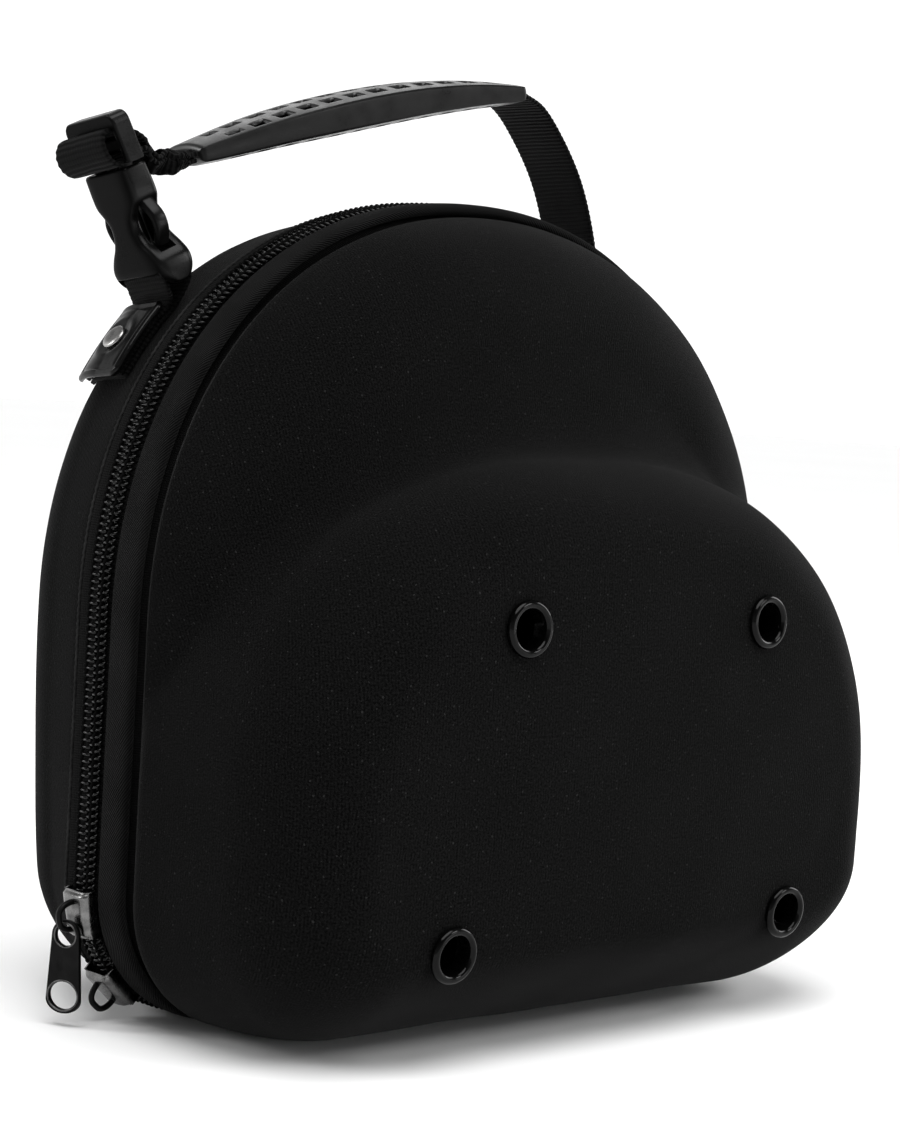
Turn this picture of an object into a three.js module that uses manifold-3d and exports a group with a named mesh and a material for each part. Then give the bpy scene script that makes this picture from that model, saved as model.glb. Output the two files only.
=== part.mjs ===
// Cap carrier: two moulded cloth-covered shells closed by a zip, with a strap handle on the back shell.
// Millimetres, +Z up. X runs across the case, the front faces -Y, the zip lies in the plane y = 0
// and the flat base stands on z = 0. The origin is the middle of the base, under the zip.

import * as THREE from 'three';
import { LoftGeometry } from 'three/addons/geometries/LoftGeometry.js';
import { mergeVertices } from 'three/addons/utils/BufferGeometryUtils.js';
import Module from 'manifold-3d';

const wasm = await Module();
wasm.setup();

// Driving dimensions

const CASE_HALF = 112;
const CASE_TOP = 220;
const CASE_SHOULDER = 106;
const CASE_POWER = 2.14;
const CORNER_R = 36;
const WALL = 4;
const GAP = 0.3;

// Each moulded form: outline (half width, top, shoulder height, power of its arch), depth profile
// (straight wall, how far and how deep its face edge rounds in, draft of the wall, crown of the face
// and height of its middle), and how far its low sides taper in and its base lifts towards the face
const FORMS = {
	back: {
		half: CASE_HALF, top: CASE_TOP, shoulder: CASE_SHOULDER, power: CASE_POWER,
		straight: 24.5, inward: 44, deep: 29.5, draft: 3.5, crown: 2, crownAt: CASE_SHOULDER,
		taper: 8.4, lift: 0,
	},
	dome: {
		half: CASE_HALF, top: CASE_TOP, shoulder: CASE_SHOULDER, power: CASE_POWER,
		straight: 11.5, inward: 38, deep: 37.5, draft: 2, crown: 9, crownAt: CASE_SHOULDER,
		taper: 0, lift: 0,
	},
	bulge: {
		half: 112.4, top: 155.5, shoulder: 55, power: 2.47,
		straight: 52, inward: 23, deep: 36, draft: 1.2, crown: 3.6, crownAt: 88,
		taper: 3.5, lift: 13,
	},
};
const JUNCTION_BLEND = 12;
const LIFT_FROM = 30;
const LIFT_LONG = 50;
const LIFT_HIGH = 60;

// The zip band, front to back along Y, and how far each strip stands out of the outline
const FRONT_RIM = 17.1;
const BINDING_END = 6.5;
const BACK_RIM = 8.3;
const BINDING_LIFT = 0.9;
const BINDING_THICK = 2.9;
const COIL_HALF = 4.4;
const COIL_LIFT = 0.8;
const COIL_THICK = 2.8;
const TAPE_LIFT = - 2.3;
const TAPE_THICK = 1.1;
const BASE_TUCK = 1.3;
const ZIP_END = 70;
const HINGE_HALF = 66;
const HINGE_THICK = 1.8;

// Eyelets on the bulge's face
const EYELETS = [
	{ name: 'eyelet_upper_left', x: - 45, z: 111.8 },
	{ name: 'eyelet_upper_right', x: 45, z: 111.8 },
	{ name: 'eyelet_lower_left', x: - 62.5, z: 30.5 },
	{ name: 'eyelet_lower_right', x: 62.5, z: 30.5 },
];
const EYELET_R = 7.2;
const EYELET_BORE = 5;
const EYELET_BARREL = 5.8;
const EYELET_ROLL = 1.7;

// Handle: webbing in bands across Y, patches on the shoulders of the back shell
const HANDLE_Y = 26;
const WEB_WIDTH = 21;
const WEB_THICK = 1.5;
const PATCH_WIDTH = 24;
const PATCH_THICK = 1.6;
const PATCH_FROM = 31;
const PATCH_TO = 44;
const RIVET_R = 3.3;
const RIVET_HIGH = 2.2;
const ACROSS = [ - 0.5, - 0.25, 0, 0.25, 0.5 ];
const TACK_WIDTH = 13;
const GRIP_WIDTH = 25;
const GRIP_TIP_WIDTH = 14;
const GRIP_END_THICK = 6.5;
const GRIP_MID_THICK = 11.5;

// Buckle: its middle, its lean and its sizes
const BUCKLE_AT = new THREE.Vector3( - 86.4, 25.6, 209 );
const BUCKLE_FRONT = new THREE.Vector3( - 0.13, - 0.99, 0.1 );
const BUCKLE_UP = new THREE.Vector3( - 0.35, 0.14, 0.93 );
const SOCKET_HALF = 13.2;
const FRAME_SIDE = 2.2;
const SOCKET_WAIST = 11.2;
const SOCKET_LONG = 33;
const SOCKET_THICK = 9;
const SOCKET_BAR_Y = - 14.6;
const PLUG_THICK = 4.2;
const PLUG_TOP = 30.5;
const PLUG_BAR_Y = 22;
const BAR_HALF = 1.5;
const SOCKET_TAIL = 7.2;
const TAIL_THICK = 4;
const MOUTH_HALF = 8.6;
const PRONG_END = - 5.5;

// Sliders and pull
const SLIDERS = [
	{ name: 'slider_upper', angle: 10 },
	{ name: 'slider_lower', angle: 46 },
];
const SLIDER_LONG = 12.5;
const SLIDER_HALF = 5.9;
const SLIDER_PLATE = 1.5;
const SLIDER_TOP = COIL_LIFT + GAP + 0.6 + SLIDER_PLATE;
const BAIL_WIRE = 0.8;
const BAIL_HALF = 3.6;
const BAIL_RISE = 5.2;
const PULL_LONG = 24.5;
const PULL_TOP_HALF = 4;
const PULL_END_HALF = 5;
const PULL_END_DEEP = 3.6;
const PULL_THICK = 1.4;
const PULL_RIM = 1.2;
const PULL_TURN = 25;

// Finishes
const FINISHES = {
	shell_cloth: { color: 0x1b1b1d, roughness: 0.92, metalness: 0 },
	binding_knit: { color: 0x1d1d1f, roughness: 0.9, metalness: 0 },
	tape_cloth: { color: 0x151516, roughness: 0.9, metalness: 0 },
	coil_nylon: { color: 0x0f0f10, roughness: 0.35, metalness: 0 },
	eyelet_enamel: { color: 0x0c0c0d, roughness: 0.2, metalness: 0.3 },
	slider_metal: { color: 0x6a6b6d, roughness: 0.3, metalness: 1 },
	pull_metal: { color: 0x2c2c2e, roughness: 0.45, metalness: 0.6 },
	webbing: { color: 0x161617, roughness: 0.85, metalness: 0 },
	grip_rubber: { color: 0x2b2c2e, roughness: 0.65, metalness: 0 },
	buckle_plastic: { color: 0x1a1a1b, roughness: 0.45, metalness: 0 },
	patch_gloss: { color: 0x0e0e0f, roughness: 0.25, metalness: 0 },
	rivet_metal: { color: 0x8a8a88, roughness: 0.35, metalness: 1 },
};

const carrier = new THREE.Group();

// Shared tools: closed geometry, cutting and joining

function closed( geometry ) {

	const bare = new THREE.BufferGeometry().copy( geometry );
	bare.deleteAttribute( 'normal' );
	bare.deleteAttribute( 'uv' );
	const merged = mergeVertices( bare, 1e-4 );
	const corner = ( i ) => new THREE.Vector3().fromBufferAttribute( merged.attributes.position, i );
	const index = [];
	let volume = 0;
	for ( let i = 0; i < merged.index.count; i += 3 ) {

		const [ a, b, c ] = merged.index.array.slice( i, i + 3 );
		if ( a === b || b === c || c === a ) continue;
		index.push( a, b, c );
		volume += corner( a ).dot( corner( b ).cross( corner( c ) ) );

	}

	merged.setIndex( volume < 0 ? index.reverse() : index );
	merged.computeVertexNormals();
	return merged;

}

function solidOf( geometry ) {

	const ready = closed( geometry );
	return new wasm.Manifold( new wasm.Mesh( {
		numProp: 3,
		vertProperties: new Float32Array( ready.attributes.position.array ),
		triVerts: new Uint32Array( ready.index.array ),
	} ) );

}

function geometryOf( solid ) {

	const mesh = solid.getMesh();
	const geometry = new THREE.BufferGeometry();
	geometry.setAttribute( 'position', new THREE.BufferAttribute( mesh.vertProperties, 3 ) );
	geometry.setIndex( new THREE.BufferAttribute( mesh.triVerts, 1 ) );
	return geometry;

}

// Skin over a row of sections, capped at both ends, with every section wound so that its faces look out
function loft( sections ) {

	const [ first, second ] = sections;
	const middle = ( section ) => section.reduce( ( sum, p ) => sum.add( p ), new THREE.Vector3() );
	const forward = middle( second ).sub( middle( first ) );
	const winding = new THREE.Vector3();
	first.forEach( ( p, i ) => winding.add( p.clone().cross( first[ ( i + 1 ) % first.length ] ) ) );
	const backward = winding.dot( forward ) < 0;
	const wound = backward ? sections.map( ( section ) => section.toReversed() ) : sections;
	return new LoftGeometry( wound, { capStart: true, capEnd: true } );

}

function add( parent, name, finish, geometry ) {

	const material = new THREE.MeshStandardMaterial( FINISHES[ finish ] );
	const mesh = new THREE.Mesh( closed( geometry ), material );
	mesh.name = name;
	parent.add( mesh );
	return mesh;

}

function smooth( from, to, value ) {

	return THREE.MathUtils.smoothstep( value, from, to );

}

// Root of a falling function between two ends, by halving
function rootOf( inside, from, to ) {

	let [ low, high ] = [ from, to ];
	for ( let i = 0; i < 42; i ++ ) {

		const middle = ( low + high ) / 2;
		if ( inside( middle ) ) low = middle;
		else high = middle;

	}

	return low;

}

// Outline of the case from the front: flat base, round corners, straight sides and an arch above

function archPoint( degrees ) {

	const angle = THREE.MathUtils.degToRad( degrees );
	const rise = CASE_TOP - CASE_SHOULDER;
	const x = CASE_HALF * Math.cos( angle ) ** ( 2 / CASE_POWER );
	const up = rise * Math.sin( angle ) ** ( 2 / CASE_POWER );
	const slope = new THREE.Vector2(
		( x / CASE_HALF ) ** ( CASE_POWER - 1 ) / CASE_HALF,
		( up / rise ) ** ( CASE_POWER - 1 ) / rise,
	).normalize();
	return { x, z: CASE_SHOULDER + up, nx: slope.x, nz: slope.y };

}

function cornerPoint( degrees ) {

	const angle = THREE.MathUtils.degToRad( degrees );
	const [ nx, nz ] = [ Math.cos( angle ), - Math.sin( angle ) ];
	return { x: CASE_HALF - CORNER_R + CORNER_R * nx, z: CORNER_R + CORNER_R * nz, nx, nz };

}

function mirrored( p ) {

	return { x: - p.x, z: p.z, nx: - p.nx, nz: p.nz };

}

const HALF_OUTLINE = [
	...[ 24, 48, ZIP_END ].map( ( x ) => ( { x, z: 0, nx: 0, nz: - 1 } ) ),
	...[ 90, 74, 58, 42, 28, 14, 0 ].map( cornerPoint ),
	...[ 54, 72, 90 ].map( ( z ) => ( { x: CASE_HALF, z, nx: 1, nz: 0 } ) ),
	...[ 0, 8, 16, 24, 32, 40, 48, 56, 64, 72, 81 ].map( archPoint ),
];
const OUTLINE = [
	{ x: 0, z: 0, nx: 0, nz: - 1 },
	...HALF_OUTLINE,
	archPoint( 90 ),
	...HALF_OUTLINE.map( mirrored ).reverse(),
];

// Moulded forms: how far a point lies inside the outline, and the depth that the face edge rounds in

function insetOf( form, shrink, x, z ) {

	const half = form.half - shrink;
	const side = half - Math.abs( x );
	if ( z >= form.shoulder ) {

		const rise = form.top - shrink - form.shoulder;
		const over = ( z - form.shoulder ) / rise;
		const reach = ( Math.abs( x ) / half ) ** form.power + over ** form.power;
		const size = half + ( Math.min( half, rise ) - half ) * Math.min( 1, over );
		return size * ( 1 - reach ** ( 1 / form.power ) );

	}

	if ( side < CORNER_R && z < CORNER_R ) return CORNER_R - Math.hypot( CORNER_R - side, CORNER_R - z );
	return Math.min( side, z );

}

function isInside( form, wall, x, depth, z ) {

	const faceHalf = form.half - form.inward;
	const faceRise = form.top - form.inward - form.shoulder;
	const away = ( x / faceHalf ) ** 2 + ( ( z - form.crownAt ) / faceRise ) ** 2;
	const crown = form.crown * Math.max( 0, 1 - away ) / ( form.straight + form.deep );
	const reach = ( depth + wall ) / ( 1 + crown );
	const turn = Math.max( 0, ( reach - form.straight ) / form.deep );
	if ( turn >= 1 ) return false;
	const leaning = Math.min( 1, reach / form.straight );
	const low = Math.max( 0, 1 - z / CASE_SHOULDER );
	const tuckedX = Math.abs( x ) + form.taper * leaning * low * low;
	const climb = Math.max( 0, ( reach - LIFT_FROM ) / LIFT_LONG );
	const liftedZ = z - form.lift * climb * climb * Math.max( 0, 1 - z / LIFT_HIGH );
	const rounding = form.inward * ( 1 - Math.sqrt( 1 - turn * turn ) );
	return insetOf( form, form.draft * leaning, tuckedX, liftedZ ) - wall - rounding > 0;

}

// Shell grid: rays from a point in the rim's plane, fanned round the outline and from rim to face.
// Where two forms meet, the farther one is kept and the hollow between them is filled softly.

const FAN_Z = 72;
const FARTHEST = 260;

function formReach( form, wall, rim, ray ) {

	const holds = ( r ) => isInside( form, wall, r * ray.x, rim + r * ray.y, FAN_Z + r * ray.z );
	return rootOf( holds, 0, FARTHEST );

}

function rayAt( p, degree ) {

	const lift = THREE.MathUtils.degToRad( degree );
	const flat = Math.cos( lift ) / Math.hypot( p.x, p.z - FAN_Z );
	return new THREE.Vector3( p.x * flat, Math.sin( lift ), ( p.z - FAN_Z ) * flat );

}

function rayReach( forms, wall, rim, ray ) {

	const reaches = forms.map( ( form ) => formReach( form, wall, rim, ray ) );
	if ( reaches.length === 1 ) return reaches[ 0 ];
	const [ p, q ] = reaches;
	const fill = JUNCTION_BLEND * smooth( 0.1, 0.34, ray.y ) * smooth( 0, 0.4, ray.z );
	const near = fill > 0 ? Math.max( 0, 1 - Math.abs( p - q ) / fill ) : 0;
	return Math.max( p, q ) + near * near * fill / 4;

}

function shellGeometry( forms, rim, facing, degreesAt ) {

	const degrees = OUTLINE.map( degreesAt );
	const ring = ( row, wall ) => OUTLINE.map( ( p, i ) => {

		const ray = rayAt( p, degrees[ i ][ row ] );
		const r = rayReach( forms, wall, rim, ray );
		return new THREE.Vector3( r * ray.x, facing * ( rim + r * ray.y ), FAN_Z + r * ray.z );

	} );
	const rows = [ ...degrees[ 0 ].keys() ];
	const outer = rows.map( ( row ) => ring( row, 0 ) );
	const inner = rows.map( ( row ) => ring( row, WALL ) );
	return new LoftGeometry( [ ...outer.reverse(), ...inner ] );

}

// The front shell's rings keep to the line where the bulge leaves the dome
const RINGS_TO_JUNCTION = [ 0, 0.3, 0.6, 0.84 ];
const RINGS_TO_FACE = [ 0, 0.09, 0.19, 0.3, 0.44, 0.66, 1 ];
const LEAST_JUNCTION = 20;
const BACK_DEGREES = [ 0, 5, 10, 15, 19, 23, 28, 36, 50, 90 ];

function frontDegrees( p ) {

	const [ dome, bulge ] = [ FORMS.dome, FORMS.bulge ];
	const domeIsFarther = ( degree ) => {

		const ray = rayAt( p, degree );
		return formReach( dome, 0, FRONT_RIM, ray ) > formReach( bulge, 0, FRONT_RIM, ray );

	};
	const junction = Math.max( LEAST_JUNCTION, rootOf( domeIsFarther, 0, 80 ) );
	return [
		...RINGS_TO_JUNCTION.map( ( part ) => junction * part ),
		...RINGS_TO_FACE.map( ( part ) => junction + ( 90 - junction ) * part ),
	];

}

// Strips of the zip band: a profile of [ y, lift ] carried along the outline, tucked up over the base

function bandGeometry( stations, profile, whole ) {

	const sections = stations.map( ( p ) => profile.map( ( [ y, lift ] ) => {

		const out = lift - BASE_TUCK * Math.max( 0, - p.nz );
		return new THREE.Vector3( p.x + p.nx * out, y, p.z + p.nz * out );

	} ) );
	return whole ? new LoftGeometry( [ ...sections, sections[ 0 ] ] ) : loft( sections );

}

function roundedProfile( yFrom, yTo, lift, thick, count ) {

	const middle = ( yFrom + yTo ) / 2;
	const half = Math.abs( yTo - yFrom ) / 2;
	return Array.from( { length: count }, ( _, i ) => {

		const angle = 2 * Math.PI * ( i + 0.5 ) / count;
		const [ c, s ] = [ Math.cos( angle ), Math.sin( angle ) ];
		const squarer = ( value ) => Math.sign( value ) * Math.abs( value ) ** 0.6;
		return [ middle + half * squarer( c ), lift - thick / 2 + thick / 2 * squarer( s ) ];

	} );

}

function flatProfile( yFrom, yTo, lift, thick ) {

	return [ [ yFrom, lift ], [ yTo, lift ], [ yTo, lift - thick ], [ yFrom, lift - thick ] ];

}

// Front and back shells

function faceDepth( x, z ) {

	return rootOf( ( depth ) => isInside( FORMS.bulge, 0, x, depth, z ), 0, FARTHEST );

}

function eyeletPlace( x, z ) {

	const step = 0.5;
	const place = new THREE.Object3D();
	const slopeX = ( faceDepth( x + step, z ) - faceDepth( x - step, z ) ) / ( 2 * step );
	const slopeZ = ( faceDepth( x, z + step ) - faceDepth( x, z - step ) ) / ( 2 * step );
	const normal = new THREE.Vector3( - slopeX, - 1, - slopeZ ).normalize();
	place.position.set( x, - faceDepth( x, z ), z );
	place.quaternion.setFromUnitVectors( new THREE.Vector3( 0, 1, 0 ), normal );
	place.updateMatrix();
	return place;

}

function frontShell() {

	let shell = solidOf( shellGeometry( [ FORMS.dome, FORMS.bulge ], FRONT_RIM, - 1, frontDegrees ) );
	for ( const eyelet of EYELETS ) {

		const drill = new THREE.CylinderGeometry( EYELET_BARREL + GAP, EYELET_BARREL + GAP, 24, 16 );
		drill.applyMatrix4( eyeletPlace( eyelet.x, eyelet.z ).matrix );
		shell = shell.subtract( solidOf( drill ) );

	}

	add( carrier, 'front_shell', 'shell_cloth', geometryOf( shell ) );

}

function backShell() {

	const geometry = shellGeometry( [ FORMS.back ], BACK_RIM, 1, () => BACK_DEGREES );
	add( carrier, 'back_shell', 'shell_cloth', geometry );

}

// A round piece turned about Y from rows of radius and height
function turned( profile ) {

	return new THREE.LatheGeometry( profile.map( ( { r, y } ) => new THREE.Vector2( r, y ) ), 16 );

}

// Eyelets: a barrel through the wall with a rolled rim outside

function eyelets() {

	const out = 2 * GAP;
	const inside = - WALL - 1;
	const profile = [
		{ r: EYELET_BORE, y: inside },
		{ r: EYELET_BARREL, y: inside },
		{ r: EYELET_BARREL, y: out },
		{ r: EYELET_R, y: out },
		{ r: EYELET_R + 0.1, y: out + 0.5 * EYELET_ROLL },
		{ r: EYELET_R - 0.6, y: out + EYELET_ROLL },
		{ r: EYELET_BARREL - 0.2, y: out + EYELET_ROLL },
		{ r: EYELET_BORE, y: out + 0.5 * EYELET_ROLL },
		{ r: EYELET_BORE, y: inside },
	];
	for ( const eyelet of EYELETS ) {

		const ring = turned( profile );
		const mesh = add( carrier, eyelet.name, 'eyelet_enamel', ring );
		const place = eyeletPlace( eyelet.x, eyelet.z );
		mesh.position.copy( place.position );
		mesh.quaternion.copy( place.quaternion );

	}

}

// Zip band: binding, tapes, coils and the cloth strip under the base

function zipBand() {

	const ends = OUTLINE.findIndex( ( p ) => p.x >= ZIP_END );
	const run = OUTLINE.slice( ends, OUTLINE.length - ends + 1 );
	const binding = roundedProfile( - FRONT_RIM + GAP, - BINDING_END, BINDING_LIFT, BINDING_THICK, 8 );
	const tapeFront = flatProfile( - FRONT_RIM + GAP, - GAP / 2, TAPE_LIFT, TAPE_THICK );
	const tapeBack = flatProfile( GAP / 2, BACK_RIM - GAP, TAPE_LIFT, TAPE_THICK );
	const coilFront = roundedProfile( - COIL_HALF, - GAP / 2, COIL_LIFT, COIL_THICK, 6 );
	const coilBack = roundedProfile( GAP / 2, COIL_HALF, COIL_LIFT, COIL_THICK, 6 );
	add( carrier, 'binding', 'binding_knit', bandGeometry( OUTLINE, binding, true ) );
	add( carrier, 'zip_tape_front', 'tape_cloth', bandGeometry( OUTLINE, tapeFront, true ) );
	add( carrier, 'zip_tape_back', 'tape_cloth', bandGeometry( OUTLINE, tapeBack, true ) );
	add( carrier, 'zip_coil_front', 'coil_nylon', bandGeometry( run, coilFront, false ) );
	add( carrier, 'zip_coil_back', 'coil_nylon', bandGeometry( run, coilBack, false ) );
	const hingeFrom = - BINDING_END + GAP;
	const hingeTo = BACK_RIM - GAP;
	const hinge = add( carrier, 'base_hinge', 'binding_knit',
		new THREE.BoxGeometry( 2 * HINGE_HALF, hingeTo - hingeFrom, HINGE_THICK ) );
	hinge.position.set( 0, ( hingeFrom + hingeTo ) / 2, HINGE_THICK / 2 );

}

// Shoulder of the back shell: the point lifted off its cloth at an arch angle and a depth.
// Side is -1 on the left and 1 on the right.

function shoulderPoint( degrees, y, lift, side ) {

	const p = archPoint( degrees );
	const isOutside = ( d ) => ! isInside( FORMS.back, 0, p.x - p.nx * d, y, p.z - p.nz * d );
	const inward = rootOf( isOutside, 0, PATCH_WIDTH ) - lift;
	return new THREE.Vector3( side * ( p.x - p.nx * inward ), y, p.z - p.nz * inward );

}

function patchGeometry( lift, side ) {

	const top = lift + PATCH_THICK;
	const columns = ACROSS.map( ( part ) => HANDLE_Y + part * PATCH_WIDTH );
	const rows = Array.from( { length: 7 }, ( _, i ) => PATCH_FROM + ( PATCH_TO - PATCH_FROM ) * i / 6 );
	return loft( rows.map( ( degrees ) => [
		...columns.map( ( y ) => shoulderPoint( degrees, y, lift, side ) ),
		...columns.toReversed().map( ( y ) => shoulderPoint( degrees, y, top, side ) ),
	] ) );

}

function rivetOn( name, lift, side ) {

	const head = turned( [
		{ r: 0, y: 0 },
		{ r: RIVET_R, y: 0 },
		{ r: RIVET_R, y: 0.3 * RIVET_HIGH },
		{ r: 0.75 * RIVET_R, y: 0.8 * RIVET_HIGH },
		{ r: 0, y: RIVET_HIGH },
	] );
	const rivet = add( carrier, name, 'rivet_metal', head );
	const degrees = ( PATCH_FROM + PATCH_TO ) / 2;
	const at = shoulderPoint( degrees, HANDLE_Y, lift, side );
	const across = shoulderPoint( degrees, HANDLE_Y - 1, lift, side ).sub( at );
	const along = shoulderPoint( degrees + 1, HANDLE_Y, lift, side ).sub( at );
	const normal = across.cross( along ).multiplyScalar( - side ).normalize();
	rivet.position.copy( at );
	rivet.quaternion.setFromUnitVectors( new THREE.Vector3( 0, 1, 0 ), normal );

}

// Webbing: a band of one thickness whose path is given for each part of its width

function webGeometry( pathAt, count ) {

	return loft( ACROSS.map( ( part ) => {

		const path = new THREE.CatmullRomCurve3( pathAt( part ), false, 'centripetal' ).getPoints( count );
		const sides = path.map( ( p, i ) => {

			const before = path[ Math.max( 0, i - 1 ) ];
			const after = path[ Math.min( count, i + 1 ) ];
			return new THREE.Vector3( before.z - after.z, 0, after.x - before.x ).setLength( WEB_THICK / 2 );

		} );
		const one = path.map( ( p, i ) => p.clone().add( sides[ i ] ) );
		const other = path.map( ( p, i ) => p.clone().sub( sides[ i ] ) );
		return [ ...one, ...other.reverse() ];

	} ) );

}

function acrossWeb( part ) {

	return HANDLE_Y + part * WEB_WIDTH;

}

// Webbing that lies on a shoulder, over the layers already there
function onShoulder( part, degrees, layers, side ) {

	const lift = layers * ( WEB_THICK + GAP ) + GAP + WEB_THICK / 2;
	return shoulderPoint( degrees, acrossWeb( part ), lift, side );

}

// Left side: patch, rivet, webbing loop round the socket's bar, buckle and the doubled strap

const buckle = new THREE.Group();
const buckleFront = BUCKLE_FRONT.clone().normalize();
const buckleOut = buckleFront.clone().cross( BUCKLE_UP ).normalize();
const buckleUp = buckleOut.clone().cross( buckleFront );
buckle.position.copy( BUCKLE_AT );
const buckleLean = new THREE.Matrix4().makeBasis( buckleFront, buckleUp, buckleOut );
buckle.quaternion.setFromRotationMatrix( buckleLean );
carrier.add( buckle );

// A point near the buckle: part across the webbing, height up the buckle and distance out of its face
function nearBuckle( part, up, out ) {

	return BUCKLE_AT.clone().addScaledVector( buckleFront, - part * WEB_WIDTH )
		.addScaledVector( buckleUp, up ).addScaledVector( buckleOut, out );

}

// Webbing round the socket's bar and round the plug's bar, from the case's side over the top
const TAB_WRAP = [
	{ out: - 3.8, up: - 2 }, { out: - 3.6, up: 1.2 }, { out: 0, up: 3.3 },
	{ out: 3.6, up: 1.2 }, { out: 3.8, up: - 2 },
];
const PLUG_WRAP = [
	{ out: - 5, up: 3.2 }, { out: 0, up: 3.3 }, { out: 5, up: 2.7 }, { out: 7, up: 0 },
	{ out: 5, up: - 2.7 }, { out: 0, up: - 3.3 }, { out: - 5, up: - 3 },
];

function leftTab() {

	const patchLift = 2 * ( WEB_THICK + GAP ) + GAP;
	const loop = ( part ) => [
		...[ 32, 36, 41, 45.8 ].map( ( degrees ) => onShoulder( part, degrees, 0, - 1 ) ),
		...TAB_WRAP.map( ( { out, up } ) => nearBuckle( part, SOCKET_BAR_Y + up, out ) ),
		...[ 45.2, 41, 36, 32 ].map( ( degrees ) => onShoulder( part, degrees, 1, - 1 ) ),
	];
	add( carrier, 'tab_webbing', 'webbing', webGeometry( loop, 28 ) );
	add( carrier, 'tab_patch', 'patch_gloss', patchGeometry( patchLift, - 1 ) );
	rivetOn( 'tab_rivet', patchLift + PATCH_THICK + 2 * GAP, - 1 );

}

function extruded( outline, holes, thick ) {

	const points = ( line ) => line.map( ( [ x, y ] ) => new THREE.Vector2( x, y ) );
	const shape = new THREE.Shape( points( outline ) );
	shape.holes = holes.map( ( hole ) => new THREE.Path( points( hole ) ) );
	const plate = new THREE.ExtrudeGeometry( shape, { depth: thick, bevelEnabled: false } );
	return plate.translate( 0, 0, - thick / 2 );

}

function corners( x0, x1, y0, y1 ) {

	return [ [ x0, y0 ], [ x1, y0 ], [ x1, y1 ], [ x0, y1 ] ];

}

function block( outline, holes, thick ) {

	return solidOf( extruded( outline, holes, thick ) );

}

// Half outline of the socket's body from its tail end up
const SOCKET_SIDE = [
	{ x: SOCKET_HALF, y: SOCKET_TAIL - SOCKET_LONG / 2 },
	{ x: SOCKET_WAIST + 0.4, y: - 4 },
	{ x: SOCKET_WAIST, y: 2 },
	{ x: SOCKET_HALF - 0.4, y: 9 },
	{ x: SOCKET_HALF, y: SOCKET_LONG / 2 },
];
const PRONGS = [ { from: - 8.2, to: - 5.4 }, { from: - 1.6, to: 1.6 }, { from: 5.4, to: 8.2 } ];

function buckleSocket() {

	const [ low, high ] = [ - SOCKET_LONG / 2, SOCKET_LONG / 2 ];
	const bodyLow = low + SOCKET_TAIL;
	const inner = SOCKET_HALF - FRAME_SIDE;
	const pocket = PLUG_THICK + 2 * GAP;
	const body = [
		...SOCKET_SIDE.map( ( { x, y } ) => [ x, y ] ),
		...SOCKET_SIDE.toReversed().map( ( { x, y } ) => [ - x, y ] ),
	];
	const tail = corners( - SOCKET_HALF, SOCKET_HALF, low, bodyLow + 1 );
	const slot = corners( - inner, inner, SOCKET_BAR_Y + BAR_HALF, bodyLow );
	const mouth = corners( - MOUTH_HALF, MOUTH_HALF, PRONG_END - 0.5, high + 1 );
	const windows = corners( - 2 * SOCKET_HALF, 2 * SOCKET_HALF, - 3, 8 );
	const socket = block( body, [], SOCKET_THICK ).add( block( tail, [ slot ], TAIL_THICK ) )
		.subtract( block( mouth, [], pocket ) )
		.subtract( block( windows, [], pocket ) );
	add( buckle, 'buckle_socket', 'buckle_plastic', geometryOf( socket ) );

}

function bucklePlug() {

	const half = SOCKET_HALF;
	const inner = half - FRAME_SIDE;
	const rail = SOCKET_LONG / 2 + GAP;
	const frame = [
		[ - half, rail ], [ half, rail ], [ half, PLUG_TOP - 2 ],
		[ half - 2, PLUG_TOP ], [ 2 - half, PLUG_TOP ], [ - half, PLUG_TOP - 2 ],
	];
	const openings = [
		corners( - inner, inner, rail + 1, PLUG_BAR_Y - BAR_HALF ),
		corners( - inner, inner, PLUG_BAR_Y + BAR_HALF, PLUG_TOP - 4 ),
	];
	let plug = block( frame, openings, PLUG_THICK );
	for ( const { from, to } of PRONGS ) {

		plug = plug.add( block( corners( from, to, PRONG_END, rail + 0.9 ), [], PLUG_THICK ) );

	}

	add( buckle, 'buckle_plug', 'buckle_plastic', geometryOf( plug ) );

}

// Middle lines of the grip and of the right strap, seen from the front
const GRIP_PATH = [
	{ x: - 71, z: 228.6 }, { x: - 38, z: 239.6 }, { x: 0, z: 249.6 },
	{ x: 25, z: 254.4 }, { x: 44, z: 256.8 },
];
const RIGHT_RUN = [
	{ x: 79.5, z: 199 }, { x: 78.5, z: 210 }, { x: 75, z: 222 },
	{ x: 69.5, z: 234 }, { x: 61, z: 245.5 }, { x: 52.5, z: 253.6 },
];

function leftStrap() {

	const { x, z } = GRIP_PATH[ 0 ];
	const layer = ( WEB_THICK + GAP ) / 2;
	const beside = ( part, dx, dz ) => new THREE.Vector3( x + dx, HANDLE_Y + part * TACK_WIDTH, z + dz );
	add( carrier, 'strap_left', 'webbing', webGeometry( ( part ) => [
		beside( part, - 0.8, layer ), beside( part, - 4, layer ), beside( part, - 9, 0.4 ),
		...PLUG_WRAP.map( ( { out, up } ) => nearBuckle( part, PLUG_BAR_Y + up, out ) ),
		beside( part, - 9, - 1.6 ), beside( part, - 4, - layer ), beside( part, - 0.8, - layer ),
	], 28 ) );

}

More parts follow.
